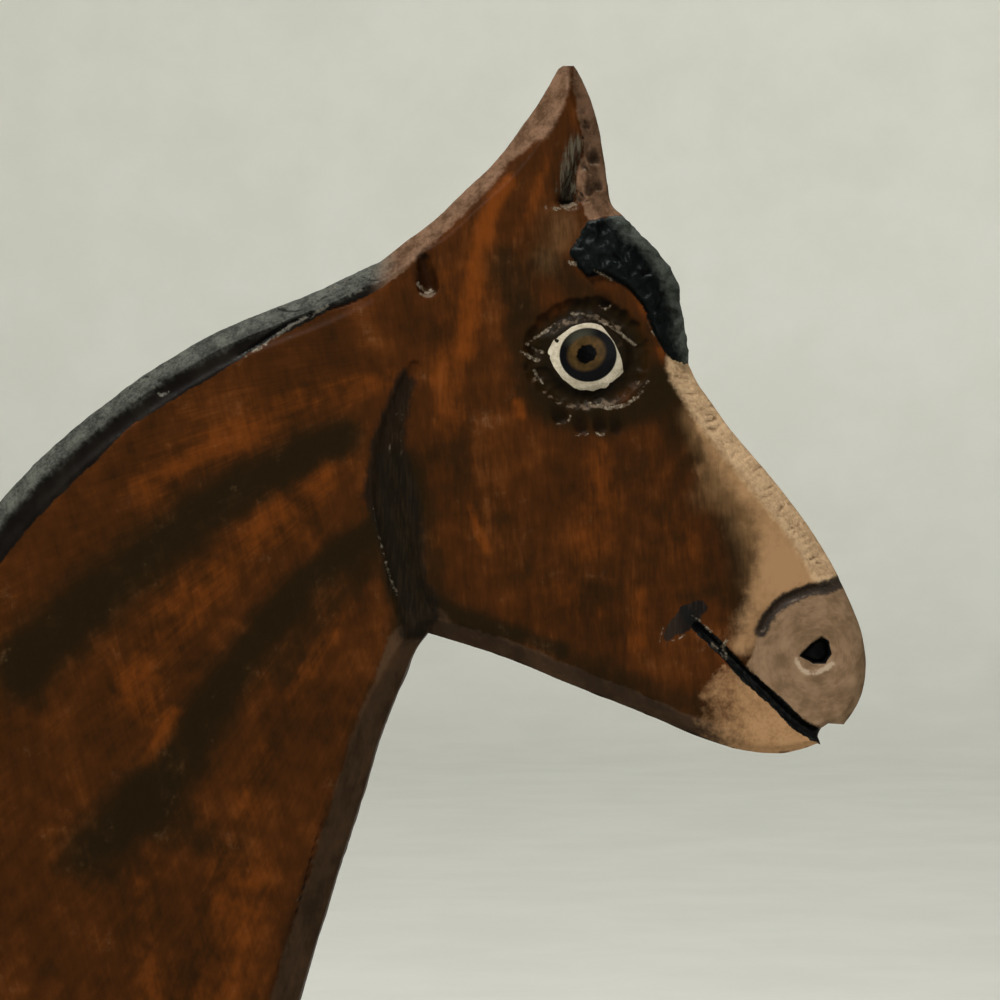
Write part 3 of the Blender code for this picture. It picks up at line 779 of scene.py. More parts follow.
def face_places(loop, coarser):
    """Places inside the outline, from nested grids that are finer where there is carving."""
    low, high = loop.min(axis=0), loop.max(axis=0)
    levels = [FINE_SPACING, FINE_SPACING * 1.4, FINE_SPACING * 2, OPEN_SPACING]
    chosen = []
    for level, spacing in enumerate(levels):
        grid = hex_grid(low + 0.3 * spacing, high, spacing * coarser)
        grid = grid[inside(grid, loop)]
        wanted = wanted_spacing(grid)
        above = levels[level + 1] if level + 1 < len(levels) else np.inf
        grid = grid[(wanted >= (spacing if level else 0)) & (wanted < above)]
        away, _ = nearest_on_line(grid, np.vstack([loop, loop[:1]]))
        chosen.append(grid[away > 0.55 * spacing * coarser])
    return np.vstack(chosen)


def halved(places, triangles, rim, loop, gap):
    """Each triangle split in four at the middles of its edges. New places on the rim go onto the outline."""
    sides = np.sort(triangles[:, [0, 1, 1, 2, 2, 0]].reshape(-1, 2), axis=1)
    edges, of_side = np.unique(sides, axis=0, return_inverse=True)
    middles = places[edges].mean(axis=1)
    ends = rim[edges]
    step = (ends[:, 1] - ends[:, 0]) % len(loop)
    forward = (ends.min(axis=1) >= 0) & (step == gap)
    backward = (ends.min(axis=1) >= 0) & (step == len(loop) - gap)
    new_rim = np.full(len(edges), -1)
    new_rim[forward] = (ends[forward, 0] + gap // 2) % len(loop)
    new_rim[backward] = (ends[backward, 1] + gap // 2) % len(loop)
    on_rim = new_rim >= 0
    middles[on_rim] = loop[new_rim[on_rim]]
    ab, bc, ca = (of_side.reshape(-1, 3) + len(places)).T
    a, b, c = triangles.T
    split = [(a, ab, ca), (ab, b, bc), (ca, bc, c), (ab, bc, ca)]
    triangles = np.vstack([np.column_stack(corners) for corners in split])
    return np.vstack([places, middles]), triangles, np.concatenate([rim, new_rim])


def carved_face(loop, edge, side):
    """One broad face: flat places, triangles, depths, and which place is each point of the outline."""
    gap = 2**HALVINGS
    coarse = loop[::gap]
    coarser = 1.0 if side < 0 else FAR_COARSER
    places = np.vstack([coarse, face_places(loop, coarser)])
    sides = [(i, (i + 1) % len(coarse)) for i in range(len(coarse))]
    made = geometry.delaunay_2d_cdt([tuple(place) for place in places], sides, [], 1, 1e-7)
    places = np.array([tuple(place) for place in made[0]])
    triangles = np.array(made[2])
    rim = np.full(len(places), -1)
    for i, group in enumerate(made[3]):
        if group and min(group) < len(coarse):
            rim[i] = min(group) * gap
    while gap > 1:
        places, triangles, rim = halved(places, triangles, rim, loop, gap)
        gap //= 2
    place_of = np.zeros(len(loop), int)
    place_of[rim[rim >= 0]] = np.nonzero(rim >= 0)[0]
    depth = carving_depth(places, edge) + small_marks(places, FACE_SEEDS[side])
    return places, triangles, depth, place_of


def plank_wall(loop, near_y, far_y):
    """Rows of places over the sawn edge, from the near rim to the far one, with the marks of the knife."""
    closed = np.vstack([loop[-1:], loop, loop[:1]])
    out = -left_of(closed)[1:-1]
    above_base = eased((loop[:, 1] - 0.001) / 0.004)
    rows = []
    for share in np.linspace(0, 1, WALL_ROWS + 2)[1:-1]:
        y = near_y + share * (far_y - near_y)
        spots = [Vector((x / KNIFE_FACET_SIZE, 3 * share, z / KNIFE_FACET_SIZE)) for x, z in loop]
        facets = np.array([noise.fractal(spot, 1.0, 2.0, 2) for spot in spots])
        swell = (WALL_SWELL + KNIFE_FACETS * facets) * np.sin(np.pi * share)
        moved = loop + out * (swell * above_base)[:, None]
        moved[:, 1] = np.maximum(moved[:, 1], 0.0)
        rows.append(np.column_stack([moved[:, 0], y, moved[:, 1]]))
    return rows


def plain_mesh(name, places, faces):
    """A mesh from places and faces."""
    mesh = bpy.data.meshes.new(name)
    mesh.from_pydata(places.tolist(), [], faces)
    mesh.validate()
    return mesh


def carved_plank():
    """The bust before its ears are parted: two carved faces and the sawn edge between, as one closed mesh."""
    edge = sawn_edge(EDGE_SAMPLING)
    loop = whole_loop(hand_cut_edge())
    places, faces, rims = [], [], []
    count = 0
    for side in (-1, 1):
        flat, triangles, depth, place_of = carved_face(loop, edge, side)
        y = side * (PLANK_THICKNESS / 2 - depth)
        places.append(np.column_stack([flat[:, 0], y, flat[:, 1]]))
        faces += (triangles[:, ::-side] + count).tolist()
        rims.append(place_of + count)
        count += len(flat)
    near, far = (np.vstack(places)[rim] for rim in rims)
    rows = [rims[0]]
    for row in plank_wall(loop, near[:, 1], far[:, 1]):
        places.append(row)
        rows.append(np.arange(len(loop)) + count)
        count += len(loop)
    rows.append(rims[1])
    for front, back in zip(rows, rows[1:]):
        after_front, after_back = np.roll(front, -1), np.roll(back, -1)
        faces += np.column_stack([after_front, front, back, after_back]).tolist()
    return plain_mesh("carved_plank", np.vstack(places), faces)


def ear_notch():
    """The wedge cut down between the ears, wide at their tips and narrow at the poll, with sawn walls."""
    floor = EAR_NOTCH_FROM * HEIGHT / 1000
    back, front = np.array(EAR_NOTCH_REACH) * HEIGHT / 1000
    made = bmesh.new()
    bmesh.ops.create_cube(made, size=1.0)
    bmesh.ops.subdivide_edges(made, edges=made.edges[:], cuts=NOTCH_CUTS, use_grid_fill=True)
    for vert in made.verts:
        side, up = 2 * vert.co.y, vert.co.z + 0.5
        x = back + (vert.co.x + 0.5) * (front - back)
        z = floor + up * (NOTCH_TOP - floor)
        half = (EAR_NOTCH_FLOOR + up * (EAR_NOTCH_WIDTH - EAR_NOTCH_FLOOR)) / 2
        half += NOTCH_STRAY * noise.fractal(Vector((x / 0.012, side, z / 0.008)), 1.0, 2.0, 2)
        vert.co = (x, side * half, z)
    mesh = bpy.data.meshes.new("ear_notch")
    made.to_mesh(mesh)
    made.free()
    return mesh


def carved_bust():
    """The bust's fine mesh with its ears parted."""
    bust = bpy.data.objects.new("carved_horse_bust", carved_plank())
    notch = bpy.data.objects.new("ear_notch", ear_notch())
    for obj in (bust, notch):
        bpy.context.scene.collection.objects.link(obj)
    cut = bust.modifiers.new("between the ears", "BOOLEAN")
    cut.operation = "DIFFERENCE"
    cut.solver = "MANIFOLD"
    cut.object = notch
    parted = bpy.data.meshes.new_from_object(bust.evaluated_get(bpy.context.evaluated_depsgraph_get()))
    bust.modifiers.clear()
    bust.data = parted
    bust.data.name = "carved_horse_bust"
    bpy.data.objects.remove(notch)
    parted.shade_smooth()
    return bust


def past_the_mane():
    """The mane's area in metres: its lower edge, carried on down the crest at a constant width."""
    crest = crest_curve()
    below = crest + MANE_BAND_BELOW * left_of(crest)
    seen_to = from_photo(MANE_EDGE[-1:])[0, 0]
    unseen = below[below[:, 0] < seen_to - 0.01]
    behind = unseen[-1, 0] - CLEAR_OF_PLANK
    outside = [(behind, -0.05), (behind, HEIGHT), (seen_to + CLEAR_OF_PLANK, HEIGHT)]
    return np.vstack([from_photo(MANE_EDGE), unseen, outside])


def millimetres_to(places, pixels):
    """Distance to a line given in pixels, and the nearest point's share of the way along it."""
    away, share = nearest_on_line(places, smooth_curve(from_photo(pixels), 5))
    return 1000 * away, share


def stroked(places, strokes):
    """Density of soft brush strokes, 0 to 1."""
    density = np.zeros(len(places))
    for line, halves, strength in strokes:
        curve = smooth_curve(from_photo(line), 4) if len(line) > 2 else from_photo(line)
        away, share = nearest_on_line(places, curve)
        half = np.interp(share, (0, 1), halves) * PIXEL
        density = 1 - (1 - density) * (1 - strength * np.exp(-0.6 * (away / half) ** 2.6))
    return density


def area_fields(places):
    """Millimetres inside each painted area, band and line."""
    fields = {
        "mane": 1000 * depth_inside(places, past_the_mane()),
        "forelock": 1000 * depth_inside(places, forelock_loop()),
    }
    for name, pixels in PAINTED_AREAS.items():
        fields[name] = 1000 * depth_inside(places, from_photo(pixels))
    for name, (stretch, width) in PAINTED_BANDS.items():
        away, _ = nearest_on_line(places, smooth_curve(on_plank(stretch), 4))
        fields[name] = 1000 * (width - away)
    for name, (line, halves) in PAINTED_LINES.items():
        away, share = millimetres_to(places, line)
        fields[name] = 1000 * PIXEL * np.interp(share, (0, 1), halves) - away
    nicks = [np.linalg.norm(places - from_photo([at]), axis=1) / PIXEL - size for at, size in EYE_NICKS]
    fields["white"] = np.minimum(fields["white"], 1000 * PIXEL * np.min(nicks, axis=0))
    return fields


def carving_fields(places, facing_up):
    """What the paint takes from the carving: chamfers, ledges for painted highlight and shade, hollows and
    splits for painted shade, rasp marks, and pale edges from rubbing and painted highlight.
    """
    edge = sawn_edge(EDGE_SAMPLING)
    fall = bevel_fall(places, edge)
    chamfer = (bevel_fall(places + [0.0, SLOPE_STEP], edge) - fall) / SLOPE_STEP
    plain = (facing_up == 0) | (places[:, 1] < LEDGES_FROM)
    cracked = np.full(len(places), -9.0)
    for line, half, _ in CRACKS:
        away, share = millimetres_to(places, line)
        cracked = np.maximum(cracked, 1000 * PIXEL * half * np.sin(np.pi * np.clip(share, 0.1, 0.9)) - away)
    worn_and_lit = np.zeros(len(places))
    for line, half, strength in WORN_AND_LIT_EDGES:
        away, _ = nearest_on_line(places, from_photo(line))
        worn_and_lit = np.maximum(worn_and_lit, strength * np.exp(-((away / (half * PIXEL)) ** 2)))
    return {
        "bevel": 1000 * fall / BEVEL_FALL * BEVEL_WIDTH,
        "ledge": np.where(plain, 0.0, facing_up - chamfer),
        "hollow": 1000 * gouge_depth(places),
        "rasp": 1000 * rasp_marks(places, RASPED_STRETCHES[:1]),
        "crack": cracked,
        "worn_and_lit": worn_and_lit,
    }


def brush_fields(places):
    """The soft strokes, the shadow round the eye, and how the brush fanned out over the neck."""
    fields = {name: stroked(places, strokes) for name, strokes in SOFT_STROKES.items()}
    from_eye = np.linalg.norm(places - from_photo([IRIS[0]]), axis=1) / PIXEL
    inner, outer = EYE_SHADOW_PIXELS
    fields["eye_shadow"] = eased((outer + 8 - from_eye) / (outer - inner))
    turned = places - from_photo([NECK_STROKES_FROM])
    fields["neck_angle"] = np.arctan2(-turned[:, 0], -turned[:, 1])
    fields["neck_radius"] = np.linalg.norm(turned, axis=1)
    line = from_photo(NECK_FROM_LINE)
    behind = np.interp(-places[:, 1], -line[:, 1], line[:, 0]) - places[:, 0]
    fields["neck"] = eased((behind + 0.012) / 0.05)
    return fields


def with_paint_fields(obj):
    """Stores on the mesh, as point attributes, what the paint's nodes need to know at each of its points."""
    mesh = obj.data
    spots, normals = np.zeros((2, len(mesh.vertices) * 3))
    mesh.vertices.foreach_get("co", spots)
    mesh.vertex_normals.foreach_get("vector", normals)
    _, across, up = normals.reshape(-1, 3).T
    flatness = np.abs(across)
    facing_up = np.where(flatness > LEAST_FLATNESS, up / np.maximum(flatness, LEAST_FLATNESS), 0.0)
    places = spots.reshape(-1, 3)[:, ::2].copy()
    fields = area_fields(places) | carving_fields(places, facing_up) | brush_fields(places)
    for name, values in fields.items():
        attribute = mesh.attributes.new(name, "FLOAT", "POINT")
        attribute.data.foreach_set("value", values.astype(np.float32))
    return obj


class Shade:
    """A number, colour or direction in a material's node tree. Arithmetic on it adds nodes."""

    def __init__(self, socket):
        self.socket = socket
        self.tree = socket.id_data

    def __add__(self, other):
        return arithmetic(self.tree, "ADD", self, other)

    def __sub__(self, other):
        return arithmetic(self.tree, "SUBTRACT", self, other)

    def __rsub__(self, other):
        return arithmetic(self.tree, "SUBTRACT", other, self)

    def __mul__(self, other):
        return arithmetic(self.tree, "MULTIPLY", self, other)

    def __truediv__(self, other):
        return arithmetic(self.tree, "DIVIDE", self, other)

    def __pow__(self, other):
        return arithmetic(self.tree, "POWER", self, other)

    __radd__ = __add__
    __rmul__ = __mul__


def feed(value, socket):
    """Puts a number, a colour or a Shade into a node's input."""
    if isinstance(value, Shade):
        socket.id_data.links.new(value.socket, socket)
    else:
        socket.default_value = value


def arithmetic(tree, operation, a, b):
    """The result of a sum on two numbers, either of which may vary over the surface."""
    node = tree.nodes.new("ShaderNodeMath")
    node.operation = operation
    feed(a, node.inputs[0])
    feed(b, node.inputs[1])
    return Shade(node.outputs[0])


def larger(a, b):
    return arithmetic(a.tree, "MAXIMUM", a, b)


def smaller(a, b):
    return arithmetic(a.tree, "MINIMUM", a, b)


def ramped(value, low, high):
    """0 below low and 1 above high, with a gentle start and end."""
    node = value.tree.nodes.new("ShaderNodeMapRange")
    node.interpolation_type = "SMOOTHSTEP"
    feed(value, node.inputs["Value"])
    node.inputs["From Min"].default_value = low
    node.inputs["From Max"].default_value = high
    return Shade(node.outputs["Result"])


def mixed(share, a, b):
    """Colour a where the share is 0 and colour b where it is 1."""
    node = share.tree.nodes.new("ShaderNodeMix")
    node.data_type = "RGBA"
    feed(share, node.inputs[0])
    feed(a, node.inputs[6])
    feed(b, node.inputs[7])
    return Shade(node.outputs[2])


def brightened(colour, factor):
    """A colour multiplied by a number."""
    node = factor.tree.nodes.new("ShaderNodeVectorMath")
    node.operation = "SCALE"
    feed(colour, node.inputs[0])
    feed(factor, node.inputs["Scale"])
    return Shade(node.outputs[0])


def joined(tree, x, y, z):
    """A place or direction from its three numbers."""
    node = tree.nodes.new("ShaderNodeCombineXYZ")
    for value, socket in zip((x, y, z), node.inputs):
        feed(value, socket)
    return Shade(node.outputs[0])


def noisy(at, scale, detail=2.0, roughness=0.5, distortion=0.0):
    """Noise of 0 to 1, mostly 0.3 to 0.7, whose features are about 1 / scale metres."""
    node = at.tree.nodes.new("ShaderNodeTexNoise")
    feed(at, node.inputs["Vector"])
    node.inputs["Scale"].default_value = scale
    node.inputs["Detail"].default_value = detail
    node.inputs["Roughness"].default_value = roughness
    node.inputs["Distortion"].default_value = distortion
    return Shade(node.outputs[0])


def photo_colour(values):
    """A linear colour from the photograph's 0 to 255 values, which the light shows as it is."""
    shares = [value / 255 for value in values]
    return (*(share / 12.92 if share < 0.0404 else ((share + 0.055) / 1.055) ** 2.4 for share in shares), 1.0)


def toned(share, tones):
    """The first of two tones where the share is 0 and the second where it is 1."""
    return mixed(share, photo_colour(tones[0]), photo_colour(tones[1]))


def painted(coat, share, colour):
    """One of the photograph's colours laid over a coat."""
    return mixed(share, coat, photo_colour(colour))


def object_places(tree):
    """The place in the object's own coordinates, and its x, y and z."""
    place = Shade(tree.nodes.new("ShaderNodeTexCoord").outputs["Object"])
    parts = tree.nodes.new("ShaderNodeSeparateXYZ")
    feed(place, parts.inputs[0])
    return [place, *(Shade(output) for output in parts.outputs)]


class Brushwork:
    """What the layers of the horse's paint share: places, noise that follows the brush, and the main areas.

    The brush went up and down on the head and fanned out from the jaw on the neck.
    """

    def __init__(self, tree):
        self.tree = tree
        place, x, y, z = object_places(tree)
        self.x, self.y, self.z = x, y, z
        self.ragged = noisy(place, 420, 2, 0.6) - 0.5
        self.coarse_ragged = noisy(place, 90, 2, 0.6) - 0.5
        self.clouds = noisy(place, 130, 2, 0.6)
        self.flecks = noisy(place, 800, 2, 0.7)
        self.grain = self.flecks * 0.5 + self.clouds * 0.5
        upright = joined(tree, x, y, z * 0.10)
        fanned = joined(tree, self.field("neck_angle") * 0.16, y, self.field("neck_radius") * 0.10)
        leaning = joined(tree, x + z * 0.25, y, z * 0.09)
        self.head_fibre = noisy(upright, 950, 2, 0.65)
        self.fibre = self.on_neck(self.head_fibre, noisy(fanned, 850, 2, 0.65))
        self.streak = self.on_neck(noisy(upright, 400, 2, 0.6, 0.4), noisy(fanned, 300, 2, 0.6, 0.4))
        cross_fibre = noisy(leaning, 700, 1, 0.6)
        patchy = noisy(joined(tree, x, y, z * 0.6), 42, 3, 0.55, 0.6)
        fine_tone = self.fibre * 0.24 + cross_fibre * 0.22
        self.tone = self.streak * 0.30 + patchy * 1.1 + self.clouds * 0.56 + fine_tone - 1.21
        self.mane = self.area("mane", -0.25, 0.35, 1.6, 1.4)
        self.forelock = self.area("forelock", -0.15, 0.40, 2.8, 1.8)
        self.blaze = ramped(self.frayed(self.field("nose_band") + self.field("cream"), 3.0, 2.6), -1.4, 2.2)
        line = self.frayed(self.field("mouth"), 1.8)
        self.ink = ramped(larger(line, self.frayed(self.field("nostril"), 0.9)), -0.12, 0.16)
        self.black = larger(larger(self.mane, self.forelock), self.ink)
        self.eye_white = self.area("white", -0.08, 0.10, 0.25)
        self.iris = self.ellipse(IRIS)

    def field(self, name):
        """One of the values that the mesh carries for the paint."""
        node = self.tree.nodes.new("ShaderNodeAttribute")
        node.attribute_name = name
        return Shade(node.outputs["Fac"])

    def on_neck(self, head, neck):
        """One value on the head that gives way to another on the neck."""
        return head + (neck - head) * self.field("neck")

    def frayed(self, value, fine, coarse=0.0):
        """A value with fine and coarse noise on it, so that an edge drawn along it comes out ragged."""
        value = self.ragged * fine + value
        return value + self.coarse_ragged * coarse if coarse else value

    def area(self, name, low, high, fine, coarse=0.0):
        """0 to 1 where a field goes from low to high, with a frayed edge."""
        return ramped(self.frayed(self.field(name), fine, coarse), low, high)

    def ellipse(self, shape):
        """Distance from an ellipse's centre, where 1 is its rim. The shape is centre, half sizes and turn."""
        centre, halves, turn = shape
        cx, cz = from_photo([centre])[0]
        c, s = math.cos(math.radians(turn)), math.sin(math.radians(turn))
        dx, dz = self.x - cx, self.z - cz
        u = (dx * c + dz * s) / (halves[0] * PIXEL)
        v = (dz * c - dx * s) / (halves[1] * PIXEL)
        return (u * u + v * v) ** 0.5


def chestnut_paint(brush):
    """The brown of head and neck, with its warm, dark and smoky strokes."""
    tone, warm = brush.tone, brush.field("warm")
    dark = smaller(brush.field("dark") + brush.field("eye_shadow") * 0.8, 1.0)
    coat = toned(ramped(tone, -0.42, 0.10), CHESTNUT)
    coat = painted(coat, ramped(tone + warm * 0.10, -0.04, 0.50), WARM_CHESTNUT)
    coat = painted(coat, ramped(warm + tone * 0.9, 0.20, 1.20), BRIGHT_CHESTNUT)
    coat = painted(coat, ramped(dark - tone * 0.5, 0.06, 0.92), DARK_STROKE)
    coat = painted(coat, brush.area("eye_shadow", 0.35, 1.20, 0.3, 0.9) * 0.66, EYE_SHADOW)
    smoke = ramped(brush.field("smoke") + tone * 0.5, 0.02, 0.85)
    return mixed(smoke * 0.9, coat, toned(ramped(tone, -0.35, 0.35), SMOKE))


def chamfer_paint(brush, coat):
    """Thinner, greyer paint on the chamfers down the throat and under the jaw."""
    light = ramped(brush.tone, -0.3, 0.3)
    coat = mixed(brush.area("throat_band", -0.6, 1.0, 3, 4) * 0.85, coat, toned(light, THROAT_CHAMFER))
    return mixed(brush.area("jaw_band", -0.6, 0.8, 2, 3) * 0.9, coat, toned(light, JAW_CHAMFER))


def ear_brown(brush):
    """The brown of the ear's edges, thin from rubbing, which runs on to the mane's upper end."""
    return toned(ramped(brush.flecks * 0.5 + brush.clouds, 0.50, 0.98), EAR_BROWN)


def ear_paint(brush, coat):
    """The bluish streaks in the ear's hollow and the pale brown of its two edges, with painted shade on the
    front one.
    """
    bluish = ramped(brush.frayed(brush.field("ear_blue"), 6) + (brush.fibre - 0.5) * 7, -1.2, 3.0)
    streaks = toned(ramped(brush.fibre, 0.42, 0.62), EAR_STREAKS)
    coat = mixed(bluish * 0.8, coat, painted(streaks, ramped(brush.z, *EAR_FOOT_UP), EAR_FOOT))
    coat = mixed(brush.area("ear_back", -1.0, 1.5, 3, 4) * 0.92, coat, ear_brown(brush))
    # painted shade on the ear's front edge, lighter toward its foot
    front = brightened(ear_brown(brush), ramped(brush.z, *EAR_SHADE_UP) * 0.25 + 0.82)
    return mixed(brush.area("ear_front", -0.4, 0.7, 2.4, 2) * 0.85, coat, front)


def cream_paint(brush, coat):
    """The cream haze on the cheek, the blaze with painted shade in the rasp's marks, and the lower lip."""
    haze = ramped(brush.frayed(brush.field("cream"), 0.5, 0.7) + brush.tone * 0.35, 0.12, 1.00)
    coat = painted(coat, haze * 0.9, CREAM_HAZE)
    cream = toned(ramped(brush.grain, 0.34, 0.66), CREAM)
    # painted shade in the rasp's marks
    coat = mixed(brush.blaze, coat, painted(cream, brush.area("rasp", 0.26, 0.90, 0.5) * 0.65, RASP_HOLLOW))
    lip = brush.area("lip", -1.0, 1.2, 5, 4) * ramped(brush.frayed(brush.x, 0.026, 0.024), *LIP_FORWARD)
    return mixed(lip, coat, toned(ramped(brush.grain, 0.30, 0.60), LIP))


def muzzle_paint(brush, coat):
    """The taupe muzzle, brushed round the nostril."""
    nostril_x, nostril_z = from_photo([NOSTRIL_BRUSHED_ROUND])[0]
    across, up = brush.x - nostril_x, brush.z - nostril_z
    rings = joined(brush.tree, (across * across + up * up) ** 0.5, across * 0.45, up * 0.45)
    brushed = noisy(rings, 480, 2, 0.6, 0.8)
    taupe = toned(ramped(brush.clouds + brushed * 0.55, 0.48, 1.06), TAUPE)
    return mixed(brush.area("muzzle", -0.5, 0.7, 1.2, 1.0), coat, taupe)


def mane_paint(brush, coat):
    """The black mane, dusty and with painted highlight on its upward side, wearing to the ear's brown at its
    upper end.
    """
    dust_and_highlight = toned(ramped(brush.grain, 0.34, 0.66), MANE_DUST_AND_HIGHLIGHT)
    black = toned(ramped(brush.coarse_ragged, -0.2, 0.3), MANE_BLACK)
    colour = mixed(brush.area("crest_band", -2.0, 3.4, 4, 5), black, dust_and_highlight)
    return mixed(brush.mane, coat, mixed(ramped(brush.x, *MANE_END_FORWARD), colour, ear_brown(brush)))


def groove_paint(brush, coat):
    """The black brushed into the groove behind the jaw."""
    share = ramped(brush.frayed(brush.field("groove"), 3, 4) + (brush.streak - 0.5) * 4, -1.6, 1.6)
    return mixed(share * 0.9, coat, toned(ramped(brush.fibre, 0.4, 0.75), GROOVE_BLACK))


def forelock_paint(brush, coat):
    """The blue-black forelock, with painted highlight greying it toward its outer edge and its top."""
    # painted highlight toward the outer edge and the top
    outer = brush.frayed(brush.field("bevel"), 5, 8) + ramped(brush.z, *FORELOCK_HIGHLIGHT_UP) * 3
    black = toned(ramped(brush.coarse_ragged, -0.2, 0.25), FORELOCK_BLACK)
    colour = mixed(ramped(outer, 3.0, 9.5) * 0.85, black, toned(brush.flecks, FORELOCK_HIGHLIGHT))
    return mixed(brush.forelock, coat, colour)


def arc_paint(brush, coat):
    """The dark arc over the muzzle."""
    arc = brush.area("arc", -0.7, 1.1, 3.0, 2.0)
    return mixed(arc * 0.9, coat, toned(ramped(brush.flecks, 0.4, 0.75), ARC_BLACK))


def mouth_paint(brush, coat):
    """The black nostril with its light rim, and the mouth's black line with the patch at its corner."""
    coat = painted(coat, brush.area("nostril_rim", -0.2, 1.0, 2.6) * 0.8, NOSTRIL_LIGHT)
    coat = mixed(brush.ink, coat, toned(ramped(brush.ragged, -0.1, 0.25), INK))
    patch = toned(ramped(brush.x, *CORNER_FORWARD), CORNER_BLACK)
    patch = painted(patch, ramped(brush.fibre, 0.50, 0.75) * 0.5, CORNER_SCUFF)
    return mixed(brush.area("corner", -0.3, 0.7, 2.2) * 0.92, coat, patch)


def shade_highlight_and_wear(brush, coat):
    """Painted shade under the cuts' upper edges, in the gouges and in the splits, painted highlight on what
    faces up, pale marks on edges and lips from rubbing and painted highlight, and specks of bare wood.
    """
    carved = 1 - smaller(brush.eye_white + ramped(brush.field("nose_band"), -1.0, 1.0), 1.0)
    ledge = brush.field("ledge")
    # painted shade under the cuts' upper edges, where the surface faces down
    coat = brightened(coat, 1 - ramped(brush.frayed(ledge, 0.4), -0.10, -0.85) * carved * 0.55)
    # painted shade in the gouges
    coat = brightened(coat, 1 - brush.area("hollow", 0.10, 1.00, 0.4) * 0.58)
    # painted shade in the splits
    coat = brightened(coat, 1 - brush.area("crack", -0.12, 0.30, 0.5) * 0.72)
    # painted highlight on ledges that face up, greyer where the paint is black
    lit_ledges = ramped(ledge * brush.frayed(1.0, 2.6, 2.4), 0.46, 1.10) * carved * (1 - brush.ink)
    coat = mixed(lit_ledges * 0.62, coat, toned(brush.black, LEDGE_HIGHLIGHT))
    # pale marks along edges and the lips of cuts: partly rubbing, partly painted highlight
    worn_and_lit = ramped(brush.field("worn_and_lit") * brush.frayed(1.0, 3.4, 2.0), 0.35, 0.90)
    rubbed_and_lit = painted(toned(ramped(brush.flecks, 0.40, 0.66), RUBBED_AND_LIT), brush.mane * 0.75, RUBBED_AND_LIT_MANE)
    coat = mixed(worn_and_lit * 0.7, coat, rubbed_and_lit)
    return painted(coat, ramped(brush.flecks, 0.79, 0.86) * (1 - brush.blaze) * 0.4, CHIP)


def eye_paint(brush, coat):
    """The painted eye: the white, a dark iris with a painted reflection and a brown ring, and the pupil."""
    ring = brush.frayed(brush.ellipse(IRIS_RING), 0.10)
    pupil = brush.frayed(brush.ellipse(PUPIL), 0.5)
    ball = toned(ramped(brush.ellipse(IRIS_REFLECTION), 1.0, 0.1) * 0.8, IRIS_DARK)
    ball = mixed(ramped(ring, 1.10, 0.84), ball, toned(ramped(brush.ragged, -0.2, 0.3), IRIS_BROWN))
    ball = painted(ball, ramped(pupil, 1.12, 0.88), PUPIL_BLACK)
    white = toned(ramped(brush.grain, 0.3, 0.7), EYE_BONE)
    return mixed(brush.eye_white, coat, mixed(ramped(brush.iris, 0.975, 1.025), ball, white))


def underside(brush, coat):
    """Bare wood where the plank was sawn off flat."""
    rings = noisy(joined(brush.tree, brush.x * 0.25, brush.y * 3.0, 0.0), 120, 3, 0.6)
    return mixed(ramped(brush.z, *UNDERSIDE_UP), coat, toned(ramped(rings, 0.35, 0.65), BARE_WOOD))


def horse_paint():
    """The whole paint, layer over layer, with its gloss and the brush's marks."""
    material = bpy.data.materials.new("horse_paint")
    material.use_nodes = True
    tree = material.node_tree
    brush = Brushwork(tree)
    coat = chestnut_paint(brush)
    layers = (
        chamfer_paint, ear_paint, cream_paint, muzzle_paint, mane_paint, groove_paint,
        forelock_paint, arc_paint, mouth_paint, shade_highlight_and_wear, eye_paint, underside,
    )
    for layer in layers:
        coat = layer(brush, coat)
    glossy = ramped(brush.iris, 1.0, 0.97) * brush.eye_white
    roughness = (brush.fibre - 0.5) * 0.25 + 0.50 + brush.blaze * 0.08 - brush.black * 0.10 - glossy * 0.30
    bump = tree.nodes.new("ShaderNodeBump")
    bump.inputs["Strength"].default_value = 0.6
    bump.inputs["Distance"].default_value = BRUSH_MARKS_DEPTH
    relief = brush.head_fibre * 0.4 + brush.ragged * 0.7 + brush.forelock * brush.ragged * 2.5
    feed(relief, bump.inputs["Height"])
    shader = tree.nodes["Principled BSDF"]
    feed(coat, shader.inputs["Base Color"])
    feed(roughness, shader.inputs["Roughness"])
    feed(Shade(bump.outputs["Normal"]), shader.inputs["Normal"])
    shader.inputs["Specular IOR Level"].default_value = 0.04
    return material


def bowl_mesh():
    """A flat floor that rises in a round fillet to an upright wall, all the way round."""
    profile = [(0.0, 0.0), (BOWL_FLOOR, 0.0)]
    for turn in np.linspace(0, math.pi / 2, BOWL_FILLET_ROWS)[1:]:
        profile.append((BOWL_FLOOR + BOWL_FILLET * math.sin(turn), BOWL_FILLET * (1 - math.cos(turn))))
    profile.append((BOWL_FLOOR + BOWL_FILLET, BOWL_HEIGHT))
    turns = np.linspace(0, 2 * math.pi, BOWL_SIDES, endpoint=False)
    places = [(0.0, 0.0, 0.0)]
    places += [(r * math.cos(t), r * math.sin(t), h) for r, h in profile[1:] for t in turns]
    faces = [(0, 1 + i, 1 + (i + 1) % BOWL_SIDES) for i in range(BOWL_SIDES)]
    for row in range(len(profile) - 2):
        for i in range(BOWL_SIDES):
            a = 1 + row * BOWL_SIDES + i
            b = 1 + row * BOWL_SIDES + (i + 1) % BOWL_SIDES
            faces.append((a, a + BOWL_SIDES, b + BOWL_SIDES, b))
    return plain_mesh("floor_and_backdrop", np.array(places), faces)


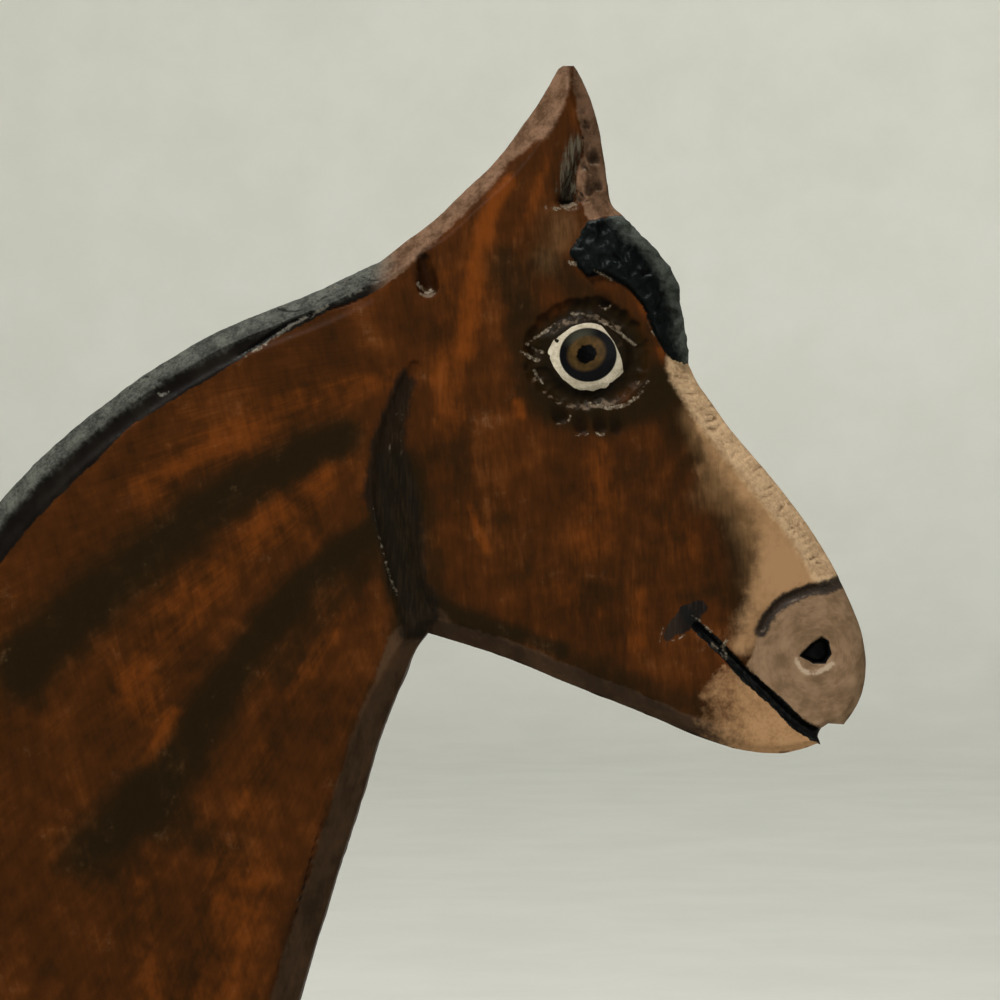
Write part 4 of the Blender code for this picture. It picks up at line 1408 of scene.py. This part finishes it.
def wall_paint():
    """Pale, faintly mottled paint, a little darker on the floor."""
    material = bpy.data.materials.new("pale_wall")
    material.use_nodes = True
    tree = material.node_tree
    place, _, _, z = object_places(tree)
    wall = mixed(ramped(noisy(place, 9, 4, 0.6), 0.3, 0.7), WALL_COLOUR, WALL_COLOUR_LIGHT)
    on_wall = ramped(z, -0.05, 0.6)
    shader = tree.nodes["Principled BSDF"]
    feed(brightened(wall, on_wall * (1 - FLOOR_SHARE) + FLOOR_SHARE), shader.inputs["Base Color"])
    shader.inputs["Roughness"].default_value = 0.9
    shader.inputs["Specular IOR Level"].default_value = 0.1
    return material


def stage_bowl():
    """The floor and the wall behind, as one bowl that closes the view from every side."""
    bowl = bpy.data.objects.new("floor_and_backdrop", bowl_mesh())
    bowl.location.z = -BOWL_SINK
    bowl.data.shade_smooth()
    bowl.data.materials.append(wall_paint())
    bpy.context.scene.collection.objects.link(bowl)


def area_light(name, place, target, size, power, colour):
    """A round soft light at a place, facing its target."""
    data = bpy.data.lights.new(name, "AREA")
    data.shape = "DISK"
    data.size = size
    data.energy = power
    data.color = colour
    light = bpy.data.objects.new(name, data)
    light.location = place
    light.rotation_euler = (Vector(target) - Vector(place)).to_track_quat("-Z", "Y").to_euler()
    light.visible_camera = False
    bpy.context.scene.collection.objects.link(light)


def studio():
    """Soft light from above and in front, and a pale surround."""
    area_light("key", *KEY_LIGHT)
    area_light("fill", *FILL_LIGHT)
    area_light("wall", *WALL_LIGHT)
    world = bpy.data.worlds.new("pale_room")
    world.use_nodes = True
    background = world.node_tree.nodes["Background"]
    background.inputs["Color"].default_value = ROOM_COLOUR
    background.inputs["Strength"].default_value = ROOM_LIGHT
    bpy.context.scene.world = world
    bpy.context.scene.view_settings.view_transform = "Standard"


def camera():
    """The camera square to the plank's face, with the photograph's frame at the near face."""
    width = PHOTO_WIDTH_PIXELS * PIXEL
    data = bpy.data.cameras.new("camera")
    data.lens = CAMERA_LENS
    data.sensor_width = CAMERA_SENSOR
    data.clip_end = CAMERA_SEES_TO
    made = bpy.data.objects.new("camera", data)
    bpy.context.scene.collection.objects.link(made)
    x, z = from_photo([PHOTO_CENTRE_PIXEL])[0]
    away = width * CAMERA_LENS / CAMERA_SENSOR
    made.location = (x, -PLANK_THICKNESS / 2 - away, z)
    made.rotation_euler = (math.pi / 2, 0, 0)
    bpy.context.scene.camera = made


bust = with_paint_fields(carved_bust())
bust.data.materials.clear()
bust.data.materials.append(horse_paint())
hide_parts(NODE)
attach(bust, "root")
camera()
stage_bowl()
studio()
